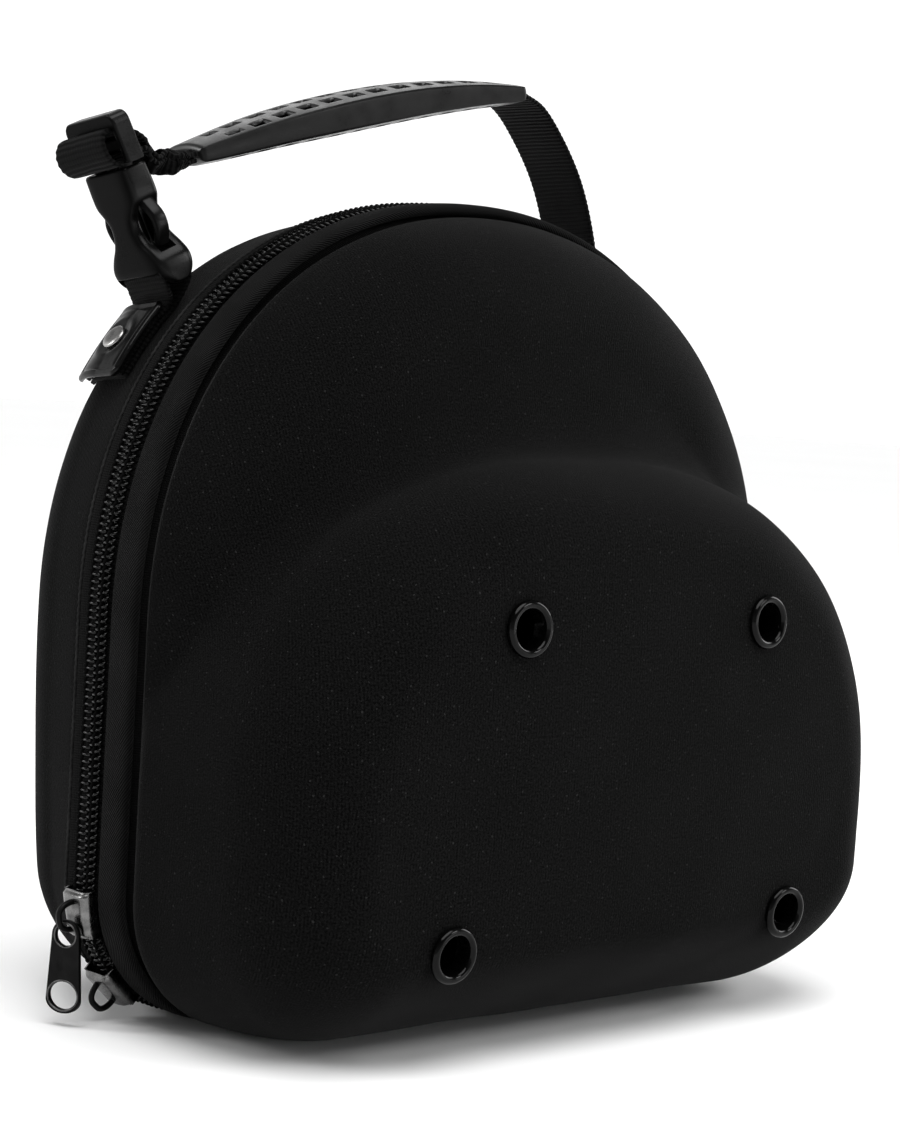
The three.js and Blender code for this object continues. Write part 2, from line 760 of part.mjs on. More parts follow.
function grip() {

	const curve = new THREE.SplineCurve( GRIP_PATH.map( ( { x, z } ) => new THREE.Vector2( x, z ) ) );
	const path = curve.getPoints( 12 );
	const sections = path.map( ( p, i ) => {

		const before = path[ Math.max( 0, i - 1 ) ];
		const after = path[ Math.min( path.length - 1, i + 1 ) ];
		const run = after.clone().sub( before ).normalize();
		const part = i / ( path.length - 1 );
		const swell = Math.sin( Math.PI * part ) ** 0.8;
		const thick = GRIP_END_THICK + ( GRIP_MID_THICK - GRIP_END_THICK ) * swell;
		const half = ( GRIP_TIP_WIDTH + ( GRIP_WIDTH - GRIP_TIP_WIDTH ) * smooth( - 0.1, 0.4, part ) ) / 2;
		return roundedProfile( HANDLE_Y - half, HANDLE_Y + half, thick / 2, thick, 12 )
			.map( ( [ y, lift ] ) => new THREE.Vector3( p.x - run.y * lift, y, p.y + run.x * lift ) );

	} );
	add( carrier, 'grip', 'grip_rubber', loft( sections ) );

}

function rightStrap() {

	const patchLift = WEB_THICK + 2 * GAP;
	const { x, z } = GRIP_PATH.at( - 1 );
	add( carrier, 'strap_right', 'webbing', webGeometry( ( part ) => [
		...[ 32, 36, 40, 44, 46 ].map( ( degrees ) => onShoulder( part, degrees, 0, 1 ) ),
		...RIGHT_RUN.map( ( p ) => new THREE.Vector3( p.x, acrossWeb( part ), p.z ) ),
		new THREE.Vector3( x + 0.5, acrossWeb( part ), z ),
	], 26 ) );
	add( carrier, 'patch_right', 'patch_gloss', patchGeometry( patchLift, 1 ) );
	rivetOn( 'rivet_right', patchLift + PATCH_THICK + 2 * GAP, 1 );

}

// Sliders on the left corner: a channel over the coil with a bail. The pull hangs on the upper one.

const BAIL = [
	{ along: - 1, rise: 0 }, { along: - 1, rise: 0.6 }, { along: - 0.6, rise: 1 },
	{ along: 0.6, rise: 1 }, { along: 1, rise: 0.6 }, { along: 1, rise: 0 },
];

function ellipse( y, rx, ry, count ) {

	return new THREE.EllipseCurve( 0, y, rx, ry ).getPoints( count ).slice( 0, count );

}

function sliderGeometry() {

	const tunnel = COIL_HALF + GAP;
	const [ half, foot, edge ] = [ SLIDER_HALF, TAPE_LIFT + GAP, SLIDER_TOP - 0.4 * SLIDER_PLATE ];
	const roof = SLIDER_TOP - SLIDER_PLATE;
	const channel = block( [
		[ - half, foot ], [ - tunnel, foot ], [ - tunnel, roof ],
		[ tunnel, roof ], [ tunnel, foot ], [ half, foot ],
		[ half, edge ], [ half - 1.2, SLIDER_TOP ], [ 1.2 - half, SLIDER_TOP ], [ - half, edge ],
	], [], SLIDER_LONG );
	const bail = new THREE.CatmullRomCurve3( BAIL.map( ( { along, rise } ) =>
		new THREE.Vector3( 0, SLIDER_TOP - SLIDER_PLATE / 2 + BAIL_RISE * rise, BAIL_HALF * along ) ) );
	const wire = new THREE.Shape( ellipse( 0, BAIL_WIRE, BAIL_WIRE, 8 ) );
	const arch = new THREE.ExtrudeGeometry( wire, { steps: 14, extrudePath: bail } );
	return geometryOf( channel.add( solidOf( arch ) ) );

}

// A slider's frame has its x across the zip, y outward and z along the zip
function sliderFrame( angle ) {

	const p = mirrored( cornerPoint( angle ) );
	const out = new THREE.Vector3( p.nx, 0, p.nz );
	const across = new THREE.Vector3( 0, 1, 0 );
	const along = across.clone().cross( out );
	const frame = new THREE.Group();
	frame.position.set( p.x, 0, p.z );
	frame.quaternion.setFromRotationMatrix( new THREE.Matrix4().makeBasis( across, out, along ) );
	return frame;

}

function slidersAndPull() {

	for ( const slider of SLIDERS ) {

		const frame = sliderFrame( slider.angle );
		carrier.add( frame );
		add( frame, slider.name, 'slider_metal', sliderGeometry() );

	}

	const hold = sliderFrame( SLIDERS[ 0 ].angle );
	hold.updateMatrix();
	const rimAlong = - BAIL_HALF + BAIL_WIRE + PULL_RIM / 2 + 3 * GAP;
	const rimOut = SLIDER_TOP + 0.4 * BAIL_RISE;
	const pivot = new THREE.Vector3( 0, rimOut, rimAlong ).applyMatrix4( hold.matrix );
	const holeR = PULL_TOP_HALF - PULL_RIM;
	const topY = PULL_RIM / 2;
	const endY = topY - PULL_LONG;
	const outline = new THREE.Shape();
	outline.absarc( 0, topY - PULL_TOP_HALF, PULL_TOP_HALF, 0, Math.PI, false );
	outline.absellipse( 0, endY + PULL_END_DEEP, PULL_END_HALF, PULL_END_DEEP, Math.PI, 2 * Math.PI, false );
	outline.holes = [
		new THREE.Path( ellipse( topY - PULL_TOP_HALF, holeR, holeR, 14 ) ),
		new THREE.Path( ellipse( endY + PULL_END_DEEP + 1.1, PULL_END_HALF - 0.9, PULL_END_DEEP, 14 ) ),
	];
	const options = { depth: PULL_THICK, bevelEnabled: false, curveSegments: 7 };
	const plate = new THREE.ExtrudeGeometry( outline, options ).translate( 0, 0, - PULL_THICK / 2 );
	const pull = add( carrier, 'pull', 'pull_metal', plate );
	const turn = THREE.MathUtils.degToRad( PULL_TURN );
	const width = new THREE.Vector3( Math.sin( turn ), - Math.cos( turn ), 0 );
	const up = new THREE.Vector3( 0, 0, 1 );
	const hang = new THREE.Matrix4().makeBasis( width, up, width.clone().cross( up ) );
	pull.position.copy( pivot );
	pull.quaternion.setFromRotationMatrix( hang );

}

frontShell();
backShell();
eyelets();
zipBand();
leftTab();
buckleSocket();
bucklePlug();
leftStrap();
grip();
rightStrap();
slidersAndPull();

export default carrier;
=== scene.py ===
"""Cap carrier: two moulded cloth shells closed by a zip, with a strap handle on the back shell.

Lengths are in millimetres until a mesh is made. X runs across the case, the front faces -Y, Z is up.
"""
import bmesh
import bpy
import numpy as np
from mathutils import Matrix, Vector


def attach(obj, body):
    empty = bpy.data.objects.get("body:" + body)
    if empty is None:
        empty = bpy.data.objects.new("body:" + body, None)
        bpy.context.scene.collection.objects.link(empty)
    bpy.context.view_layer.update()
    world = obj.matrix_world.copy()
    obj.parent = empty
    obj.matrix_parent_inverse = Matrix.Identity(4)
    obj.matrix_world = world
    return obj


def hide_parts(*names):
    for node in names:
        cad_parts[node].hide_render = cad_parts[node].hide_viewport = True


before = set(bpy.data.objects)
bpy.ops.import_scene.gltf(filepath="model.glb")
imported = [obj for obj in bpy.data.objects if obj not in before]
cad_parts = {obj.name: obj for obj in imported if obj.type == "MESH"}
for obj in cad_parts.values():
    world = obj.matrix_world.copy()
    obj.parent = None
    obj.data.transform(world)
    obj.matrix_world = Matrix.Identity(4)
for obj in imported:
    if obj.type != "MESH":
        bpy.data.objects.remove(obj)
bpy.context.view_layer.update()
MM = 0.001
TAU = 2 * np.pi
MERGE = 1e-6

# Outline of the case and its moulded forms

CASE_HALF, CASE_TOP, CASE_SHOULDER, CASE_POWER, CORNER_R = 112.0, 220.0, 106.0, 2.14, 36.0
CASE_RISE = CASE_TOP - CASE_SHOULDER
WALL = 4.0
FORM_COLUMNS = ("half", "top", "shoulder", "power", "straight", "inward", "deep", "draft",
                "crown", "crown_at", "taper", "lift")
FORMS = {
    name: dict(zip(FORM_COLUMNS, row)) for name, row in {
        "back": (112, 220, 106, 2.14, 24.5, 44, 29.5, 3.5, 2, 106, 8.4, 0),
        "dome": (112, 220, 106, 2.14, 11.5, 38, 37.5, 2, 9, 106, 0, 0),
        "bulge": (112.4, 155.5, 55, 2.47, 52, 23, 36, 1.2, 3.6, 88, 3.5, 13),
    }.items()
}
JUNCTION_BLEND, JUNCTION_LOWEST = 16.0, 20
LIFT_FROM, LIFT_LONG, LIFT_HIGH = 30.0, 50.0, 60.0
FRONT_RIM, BACK_RIM = 17.1, 8.3
RIM_BLEND, RIM_ROLL, ROLL_LONG = 5.0, 1.2, 4.0
FAN_Z, FAN_FAR = 72.0, 260
SHELL_COLUMNS = 400

EYELETS = {
    "eyelet_upper_left": (-45, 111.8),
    "eyelet_upper_right": (45, 111.8),
    "eyelet_lower_left": (-62.5, 30.5),
    "eyelet_lower_right": (62.5, 30.5),
}
EYELET_R, EYELET_ROLL, EYELET_RISE, EYELET_SEAT, HOLE_R = 6.2, 1.2, 1.35, 0.85, 6.1

# Zip band: places across it are along Y, lifts are off the outline

BINDING_END, BINDING_LIFT, BINDING_THICK = 6.5, 0.9, 3.4
TAPES = {"zip_tape_front": (-18.5, -0.15), "zip_tape_back": (0.15, 8.0)}
TAPE_LIFT, TAPE_HALF_THICK, TAPE_RISE, TAPE_DIP = -2.3, 0.55, 1.9, 2.2
CORD_Y, CORD_LIFT, CORD_WAVE, CORD_R = 8.15, -0.4, 0.12, 0.42
COIL_PITCH, COIL_Y, COIL_HALF, COIL_LIFT, COIL_WIRE = 1.87, 1.93, 2.05, -0.62, 0.42
THREAD_Y, THREAD_LIFT, THREAD_WAVE, THREAD_R = 2.5, 0.42, 0.26, 0.45
BASE_TUCK = 1.3
ZIP_END = 70.0
HINGE_HALF_LONG, HINGE_HALF_WIDE, HINGE_HALF_THICK, HINGE_Y = 66, 7.1, 0.9, 0.9

# Handle

HANDLE_Y = 26.0
WEB_WIDTH, WEB_THICK, WEFT_PITCH = 21.0, 1.5, 1.65
PATCH_WIDTH, PATCH_THICK, PATCH_FROM, PATCH_TO = 24.0, 1.6, 31.0, 44.0
PATCH_CORNER, PATCH_EDGE = 3.0, 0.8
SLAB_FLAT, SLAB_EDGE = 0.945, 0.055
MM_PER_DEGREE = 2.13
GAP = 0.3
TACK_WIDTH, GRIP_TIP_WIDTH, GRIP_WIDTH = 13.0, 14.0, 25.0
TACK_X, TACK_Z, TACK_HALF_WIDE, TACK_HALF_HIGH, TACK_R = -79.4, 226.1, 7.2, 3.1, 0.34
GRIP_PATH = np.array([(-71, 228.6), (-38, 239.6), (0, 249.6), (25, 254.4), (44, 256.8)])
GRIP_END = 1.6
SLOT_PITCH, SLOT_LONG, SLOT_WIDE, SLOT_DEEP = 8.6, 4.6, 3.6, 3.0
SLOT_ROWS = ((-7.6, 0.0), (0.0, 0.5), (7.6, 0.0))
RIGHT_RUN = np.array([(79.5, 199), (78.5, 210), (75, 222), (69.5, 234), (61, 245.5), (52.5, 253.6)])
BUCKLE_AT = np.array([-86.4, 25.6, 209.0])
SOCKET_BAR_UP, PLUG_BAR_UP, PLUG_TOP = -14.6, 22.0, 30.5
SOCKET_HALF, FRAME_SIDE, SOCKET_LONG = 13.2, 2.2, 33.0
SOCKET_LOW, SOCKET_HIGH, SOCKET_EDGE = -17.3, 15.8, 0.7
PLUG_THICK, PLUG_CORNER, PLUG_BAR_HALF = 5.4, 3, 1.7

# Half width of the socket by height, its hollows as ranges across and up with a half depth, the plug's arm

SOCKET_SIDE = np.array([(13.2, -17.3), (13.2, -12.5), (12.7, -10), (10.8, -7.4), (7.8, -4.4), (6.2, -1.4),
                        (6.4, 1.6), (8.6, 4.4), (10.5, 6.6), (11, 9), (11, 15.8)])
SOCKET_HOLLOWS = ((-8.3, 8.3, -6, 20, 2.4), (-20, 20, -8.0, 5.6, 2.5), (-11, 11, -20, -8.6, 4.7),
                  (-11, 11, -20, -13, 9))
PLUG_ARM = np.array([(6.6, 17.2), (6.6, 12), (7.3, 7.6), (10, 4.4), (12.2, 0.6), (11.4, -3), (9, -5.8)])

# Sliders and pull

SLIDER_FOOT, SLIDER_ROOF, SLIDER_TOP = -2.0, 1.7, 3.2
SLIDER_HALF_LONG, SLIDER_INSIDE, SLIDER_HALF_WIDE, SLIDER_FLARE = 6.25, 4.3, 4.8, 0.4
BAIL_HALF, BAIL_RISE, BAIL_WIRE = 3.6, 5.2, 0.8
PULL_AT = np.array([-116.427, 0.0, 27.552])
PULL_TURN, PULL_THICK, PULL_EDGE_R, RIM_WIRE, RIM_OFF = 25, 1.4, 0.3, 0.26, 0.62
UPPER_EYE, LOWER_EYE = -3.4, -19.2


def unit(v):
    """Vectors divided by their lengths, along the last axis."""
    v = np.asarray(v, float)
    return v / np.maximum(np.linalg.norm(v, axis=-1, keepdims=True), 1e-12)


BUCKLE_FRONT = unit([-0.13, -0.99, 0.1])
BUCKLE_OUT = unit(np.cross(BUCKLE_FRONT, [-0.42, 0.2, 0.93]))
BUCKLE_UP = np.cross(BUCKLE_OUT, BUCKLE_FRONT)
BUCKLE_AXES = (BUCKLE_AT, BUCKLE_FRONT, BUCKLE_UP, BUCKLE_OUT)


def together(*parts):
    """Arrays spread to one shape and stacked along a new last axis."""
    return np.stack(np.broadcast_arrays(*parts), axis=-1)


def smoothstep(low, high, value):
    """0 below low, 1 above high and a cubic ease between them."""
    t = np.clip((value - low) / (high - low), 0, 1)
    return t * t * (3 - 2 * t)


def quarter_round(way):
    """Height of a quarter circle from 0 at a way of 0 to 1 at a way of 1 and beyond."""
    return np.sqrt(np.maximum(0, 1 - (1 - np.minimum(way, 1)) ** 2))


def spline(points, count):
    """Centripetal Catmull-Rom curve through the points, resampled at equal steps of its length.

    Knots are spaced by the root of each chord, and every span blends three straight lines twice.
    """
    p = np.asarray(points, float)
    p = np.vstack([2 * p[0] - p[1], p, 2 * p[-1] - p[-2]])
    knot = np.concatenate([[0], np.cumsum(np.linalg.norm(np.diff(p, axis=0), axis=1) ** 0.5)])
    t = np.linspace(knot[1], knot[-2], 60 * len(p))
    i = np.clip(np.searchsorted(knot, t, side="right") - 1, 1, len(p) - 3)
    k = [knot[i + j - 1][:, None] for j in range(4)]
    t = t[:, None]
    mix = lambda a, b, low, high: ((high - t) * a + (t - low) * b) / (high - low)
    lines = [mix(p[i + j - 1], p[i + j], k[j], k[j + 1]) for j in range(3)]
    bows = [mix(lines[j], lines[j + 1], k[j], k[j + 2]) for j in range(2)]
    return resample(mix(bows[0], bows[1], k[1], k[2]), count)


def lengths_of(points):
    """Length run along a row of points."""
    steps = np.linalg.norm(np.diff(points, axis=0), axis=1)
    return np.concatenate([[0], np.cumsum(steps)])


def resample(points, count):
    """The same line at count equal steps of its length."""
    run = lengths_of(points)
    at = np.linspace(0, run[-1], count)
    return together(*(np.interp(at, run, column) for column in points.T))


def tangents(points):
    """Unit directions along a row of points."""
    return unit(np.gradient(points, axis=0))


# Meshes from grids


def uv_of(points):
    """UV lengths of a grid: mean distance run down the rows, mean distance run along the columns."""
    down = np.linalg.norm(np.diff(points, axis=0), axis=2).mean(axis=1)
    along = np.linalg.norm(np.diff(points, axis=1), axis=2).mean(axis=0)
    u, v = (np.concatenate([[0], np.cumsum(steps)]) for steps in (down, along))
    return together(u[:, None], v)


def closed(mesh, smooth):
    """The mesh with its doubles merged, so poles and seams close, and its faces turned outwards."""
    work = bmesh.new()
    work.from_mesh(mesh)
    bmesh.ops.remove_doubles(work, verts=work.verts, dist=MERGE)
    bmesh.ops.dissolve_degenerate(work, edges=work.edges, dist=MERGE)
    bmesh.ops.recalc_face_normals(work, faces=work.faces)
    work.to_mesh(mesh)
    work.free()
    mesh.polygons.foreach_set("use_smooth", np.full(len(mesh.polygons), smooth))
    return mesh


def grid_mesh(name, grids, capped):
    """One mesh from grids of points (rows, columns, xyz), each alone or paired with its own UV lengths.

    Neighbouring points make four-cornered faces. Capped grids have their end rows closed by one face each.
    """
    verts, quads, uvs, ends, first = [], [], [], [], 0
    for grid in grids:
        points, uv = grid if isinstance(grid, tuple) else (grid, uv_of(grid))
        rows, columns = points.shape[:2]
        index = first + np.arange(rows * columns).reshape(rows, columns)
        quad = together(index[:-1, :-1], index[:-1, 1:], index[1:, 1:], index[1:, :-1])
        verts.append(points.reshape(-1, 3))
        quads.append(quad.reshape(-1, 4))
        uvs.append(uv.reshape(-1, 2))
        if capped:
            ends += [index[0, :-1], index[-1, :-1][::-1]]
        first += rows * columns
    verts, quads, uvs = np.concatenate(verts) * MM, np.concatenate(quads), np.concatenate(uvs) * MM
    loops = np.concatenate([quads.ravel(), *ends]).astype(np.int32)
    totals = np.concatenate([np.full(len(quads), 4), [len(e) for e in ends]]).astype(np.int32)
    starts = np.concatenate([[0], np.cumsum(totals)[:-1]]).astype(np.int32)
    mesh = bpy.data.meshes.new(name)
    mesh.vertices.add(len(verts))
    mesh.vertices.foreach_set("co", verts.astype(np.float32).ravel())
    mesh.loops.add(len(loops))
    mesh.loops.foreach_set("vertex_index", loops)
    mesh.polygons.add(len(totals))
    mesh.polygons.foreach_set("loop_start", starts)
    mesh.polygons.foreach_set("loop_total", totals)
    mesh.update(calc_edges=True)
    layer = mesh.uv_layers.new(name="UVMap")
    layer.data.foreach_set("uv", uvs[loops].astype(np.float32).ravel())
    return closed(mesh, True)


def place(name, mesh, material, extra, body):
    """A mesh as a piece that rides on a body and, unless it is extra, stands for the CAD node of its name."""
    piece = bpy.data.objects.new(name + "_look", mesh)
    bpy.context.scene.collection.objects.link(piece)
    mesh.materials.clear()
    mesh.materials.append(material)
    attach(piece, body)
    if not extra:
        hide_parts(name)
    return piece


def add_piece(name, grids, material, capped=False, extra=False, body="case"):
    """A piece made of grids."""
    return place(name, grid_mesh(name, grids, capped), material, extra, body)


def flat_plate(name, outlines, thick, edge, axes, material, body="case"):
    """A plate from an outer line and hole lines of (x, y), filled and thickened.

    Its edges are rounded by a width.
    """
    curve = bpy.data.curves.new(name, "CURVE")
    curve.dimensions, curve.fill_mode, curve.bevel_resolution = "2D", "BOTH", 2
    curve.extrude, curve.bevel_depth, curve.offset = thick / 2 - edge, edge, -edge
    for line in outlines:
        run = curve.splines.new("POLY")
        run.points.add(len(line) - 1)
        spots = np.c_[line, np.zeros(len(line)), np.ones(len(line))]
        run.points.foreach_set("co", spots.astype(np.float32).ravel())
        run.use_cyclic_u = True
    holder = bpy.data.objects.new(name, curve)
    bpy.context.scene.collection.objects.link(holder)
    made = holder.evaluated_get(bpy.context.evaluated_depsgraph_get())
    mesh = bpy.data.meshes.new_from_object(made)
    bpy.data.objects.remove(holder)
    co = np.empty(3 * len(mesh.vertices), np.float32)
    mesh.vertices.foreach_get("co", co)
    moved = set_at(co.reshape(-1, 3), *axes) * MM
    mesh.vertices.foreach_set("co", moved.astype(np.float32).ravel())
    return place(name, closed(mesh, False), material, False, body)


def bored(piece, cutters):
    """Cuts closed grids out of a piece and keeps the result as its mesh."""
    tools = []
    for points in cutters:
        tool = bpy.data.objects.new("cutter", grid_mesh("cutter", [points], True))
        bpy.context.scene.collection.objects.link(tool)
        tools.append(tool)
        change = piece.modifiers.new("bore", "BOOLEAN")
        change.operation, change.solver, change.object = "DIFFERENCE", "EXACT", tool
    graph = bpy.context.evaluated_depsgraph_get()
    cut = piece.evaluated_get(graph)
    mesh = bpy.data.meshes.new_from_object(cut, preserve_all_data_layers=True, depsgraph=graph)
    piece.modifiers.clear()
    piece.data = mesh
    for tool in tools:
        bpy.data.objects.remove(tool)


def closed_loop(angle_count):
    """Angles once round, the first repeated at the end."""
    return np.linspace(0, TAU, angle_count + 1)


def rounded_section(half_wide, half_high, count, power):
    """Superellipse loop: cosine and sine raised to a power under one, so the corners fill out."""
    a = closed_loop(count)
    squarer = lambda w: np.sign(w) * np.abs(w) ** power
    return together(half_wide * squarer(np.cos(a)), half_high * squarer(np.sin(a)))


def tube(path, side, radius, count):
    """Round section of a radius carried along a path; side is a direction kept across it."""
    along = tangents(path)
    across = unit(np.cross(along, side))
    up = np.cross(across, along)
    a = closed_loop(count)[:, None]
    return path[:, None] + radius * (across[:, None] * np.cos(a) + up[:, None] * np.sin(a))


def turned(profile, count):
    """Rows of radius and height turned about an upright axis, as points (height rows, angles)."""
    a = closed_loop(count)
    r, h = np.asarray(profile, float).T[..., None]
    return together(r * np.cos(a), r * np.sin(a), h)


def set_at(points, origin, x_axis, y_axis, z_axis):
    """Local points moved to an origin along three axes."""
    return np.asarray(origin) + points @ np.stack([x_axis, y_axis, z_axis])


# Outline of the case from the front, as points and outward normals along its length


def arch(degrees):
    """Superellipse arch: half width times cosine and rise times sine, each to the power 2 over p."""
    a = np.radians(degrees)
    x = CASE_HALF * np.abs(np.cos(a)) ** (2 / CASE_POWER)
    up = CASE_RISE * np.abs(np.sin(a)) ** (2 / CASE_POWER)
    slope = lambda value, size: (value / size) ** (CASE_POWER - 1) / size
    return together(x, CASE_SHOULDER + up), unit(together(slope(x, CASE_HALF), slope(up, CASE_RISE)))


def case_outline():
    """Dense closed outline from the middle of the base, round by the right.

    Base, corner, side and arch follow each other, and then their mirror image.
    """
    corner = np.radians(np.linspace(90, 0, 80))
    turn = together(np.cos(corner), -np.sin(corner))
    base = np.linspace(0, CASE_HALF - CORNER_R, 40)[:-1]
    side = np.linspace(CORNER_R, CASE_SHOULDER, 40)[1:-1]
    top, top_normal = arch(np.linspace(0, 90, 400))
    bend = [CASE_HALF - CORNER_R, CORNER_R] + CORNER_R * turn
    points = np.concatenate([together(base, 0.0), bend, together(CASE_HALF, side), top])
    normals = np.concatenate([np.tile([0.0, -1.0], (len(base), 1)), turn,
                              np.tile([1.0, 0.0], (len(side), 1)), top_normal])
    mirrored = lambda table: np.concatenate([table, table[-2::-1] * [-1, 1]])
    return mirrored(points), mirrored(normals)


OUTLINE, OUTLINE_NORMAL = case_outline()
OUTLINE_RUN = lengths_of(OUTLINE)
ROUND = OUTLINE_RUN[-1]
ZIP_TURNS = int((ROUND - 2 * ZIP_END) / COIL_PITCH) - 1


def along_outline(run):
    """Points and unit normals of the outline at lengths run from the middle of its base."""
    at = lambda table: together(*(np.interp(run, OUTLINE_RUN, column) for column in table.T))
    return at(OUTLINE), unit(at(OUTLINE_NORMAL))


COLUMNS = along_outline(np.linspace(0, ROUND, SHELL_COLUMNS + 1))[0]


def off_outline(run, y, lift):
    """Points that stand off the outline by a lift along its normal, less the tuck over the base."""
    run, y, lift = np.broadcast_arrays(run, y, lift)
    p, n = along_outline(run)
    out = lift - BASE_TUCK * np.maximum(0, -n[..., 1])
    return together(p[..., 0] + n[..., 0] * out, y, p[..., 1] + n[..., 1] * out)


# Moulded forms


def inset(form, shrink, x, z):
    """How far a point lies inside a form's outline, shrunk by its draft."""
    half = form["half"] - shrink
    rise = form["top"] - shrink - form["shoulder"]
    p = form["power"]
    over = np.maximum(z - form["shoulder"], 0) / rise
    size = half + (np.minimum(half, rise) - half) * np.minimum(1, over)
    bow = size * (1 - ((np.abs(x) / half) ** p + over**p) ** (1 / p))
    side = half - np.abs(x)
    corner = CORNER_R - np.hypot(CORNER_R - side, CORNER_R - z)
    low = np.where((side < CORNER_R) & (z < CORNER_R), corner, np.minimum(side, z))
    return np.where(z >= form["shoulder"], bow, low)


def is_inside(form, wall, x, depth, z):
    """True inside a form: its inset less the wall and the quarter-ellipse rounding towards its face.

    Towards the face the low sides taper in and the base lifts, both by the square of the way there.
    """
    away = (x / (form["half"] - form["inward"])) ** 2
    away = away + ((z - form["crown_at"]) / (form["top"] - form["inward"] - form["shoulder"])) ** 2
    crown = form["crown"] * np.maximum(0, 1 - away) / (form["straight"] + form["deep"])
    reach = (depth + wall) / (1 + crown)
    turn = np.maximum(0, (reach - form["straight"]) / form["deep"])
    leaning = np.minimum(1, reach / form["straight"])
    tucked = np.abs(x) + form["taper"] * leaning * np.maximum(0, 1 - z / CASE_SHOULDER) ** 2
    climb = np.maximum(0, (reach - LIFT_FROM) / LIFT_LONG)
    lifted = z - form["lift"] * climb**2 * np.maximum(0, 1 - z / LIFT_HIGH)
    rounding = form["inward"] * (1 - np.sqrt(np.maximum(0, 1 - turn * turn)))
    return (turn < 1) & (inset(form, form["draft"] * leaning, tucked, lifted) - wall - rounding > 0)


def halving(inside, low, high, shape):
    """Where a condition stops holding between two ends, for a whole array at once, by halving."""
    low, high = np.full(shape, float(low)), np.full(shape, float(high))
    for _ in range(34):
        middle = (low + high) / 2
        holds = inside(middle)
        low, high = np.where(holds, middle, low), np.where(holds, high, middle)
    return low


def form_reach(form, wall, rim, ray):
    """Length of rays from the fan's centre to a form's surface."""
    x, y, z = np.moveaxis(ray, -1, 0)
    inside = lambda r: is_inside(FORMS[form], wall, r * x, rim + r * y, FAN_Z + r * z)
    return halving(inside, 0, FAN_FAR, x.shape)


def fan_rays(degrees):
    """Unit rays from the fan's centre towards the columns, raised out of the rim's plane by an angle."""
    lift = np.radians(degrees)
    x, z = unit(COLUMNS - [0, FAN_Z]).T
    return together(x * np.cos(lift), np.sin(lift), z * np.cos(lift))


def shell_surface(forms, wall, rim, facing, degrees):
    """Grid on a shell: the farther of its forms along each ray, the hollow between two filled softly."""
    ray = fan_rays(degrees)
    x, y, z = np.moveaxis(ray, -1, 0)
    reaches = [form_reach(form, wall, rim, ray) for form in forms]
    r = np.max(reaches, axis=0)
    if len(reaches) == 2:
        fill = JUNCTION_BLEND * smoothstep(0.06, 0.34, y) * smoothstep(-0.25, 0.25, z)
        near = np.maximum(0, 1 - np.abs(reaches[0] - reaches[1]) / np.maximum(fill, 1e-9))
        r = r + near**2 * fill / 4
    return together(r * x, facing * (rim + r * y), FAN_Z + r * z)


def cloth_uv(points):
    """Cloth lengths from the face's middle: arc length down each ray, turned to the ray's direction.

    Knit lines so run upright on the face and the sides and front to back on the top.
    """
    run = np.linalg.norm(np.diff(points, axis=0), axis=2)[::-1].cumsum(axis=0)[::-1]
    run = np.concatenate([run, np.zeros((1, points.shape[1]))])
    flat = unit(points[0][:, [0, 2]] - [0, FAN_Z])
    return run[..., None] * flat[None]


def front_degrees(side_rows, face_rows):
    """Ray angles whose rows keep to the line where the bulge leaves the dome.

    They run evenly up to that line, and start close together beyond it.
    """
    reach = lambda form, degree: form_reach(form, 0, FRONT_RIM, fan_rays(degree))
    dome_is_farther = lambda degree: reach("dome", degree) > reach("bulge", degree)
    junction = np.maximum(JUNCTION_LOWEST, halving(dome_is_farther, 0, 80, len(COLUMNS)))
    side, face = np.linspace(0, 1, side_rows)[:-1, None], np.linspace(0, 1, face_rows)[:, None] ** 1.12
    return np.concatenate([side * junction, junction + face * (90 - junction)])


def unevenness(points):
    """Shallow waves of moulded foam: a few sines of the place, under a third of a millimetre."""
    x, y, z = np.moveaxis(points, -1, 0) / 21.0
    swells = 0.16 * np.sin(1.7 * x + 0.8 * z + 1) * np.sin(1.3 * z - 0.6 * y)
    return swells + 0.1 * np.sin(3.1 * x - 2.3 * z + y)


# Finishes


def grey(value, warm=0.0):
    """A grey tone, warmed by a share."""
    return (value * (1 + warm), value, value * (1 - warm))


def finish(name, color, roughness, **sockets):
    """A Principled material with its plain values set on the shader's own sockets."""
    material = bpy.data.materials.new(name)
    material.use_nodes = True
    tree = material.node_tree
    shader = tree.nodes["Principled BSDF"]
    shader.inputs["Base Color"].default_value = (*color, 1)
    shader.inputs["Roughness"].default_value = roughness
    for key, value in sockets.items():
        shader.inputs[key.replace("_", " ").title().replace("Ior", "IOR")].default_value = value
    return material, tree, shader


def step(tree, kind, settings=None, out=0, **inputs):
    """One node: its settings, then its inputs by name or by place (i0, i1, ...), plain or linked."""
    node = tree.nodes.new("ShaderNode" + kind)
    for key, value in (settings or {}).items():
        setattr(node, key, value)
    for key, value in inputs.items():
        socket = node.inputs[int(key[1:])] if key[0] == "i" and key[1:].isdigit() else node.inputs[key]
        if isinstance(value, bpy.types.NodeSocket):
            tree.links.new(value, socket)
        else:
            socket.default_value = value
    return node.outputs[out]


def maths(tree, operation, *values):
    """One Math node over plain values and sockets."""
    return step(tree, "Math", {"operation": operation}, **{f"i{k}": v for k, v in enumerate(values)})


def along_way(tree, vector, way):
    """How far a vector points along a fixed way."""
    return step(tree, "VectorMath", {"operation": "DOT_PRODUCT"}, out=1, i0=vector, i1=way)


def surface_lengths(tree):
    """The piece's own UV map in metres, and its two lengths."""
    uv = step(tree, "UVMap", {"uv_map": "UVMap"})
    return uv, step(tree, "SeparateXYZ", i0=uv), step(tree, "SeparateXYZ", out=1, i0=uv)


def object_place(tree):
    """Place on the object in metres."""
    return step(tree, "TexCoord", out=3)


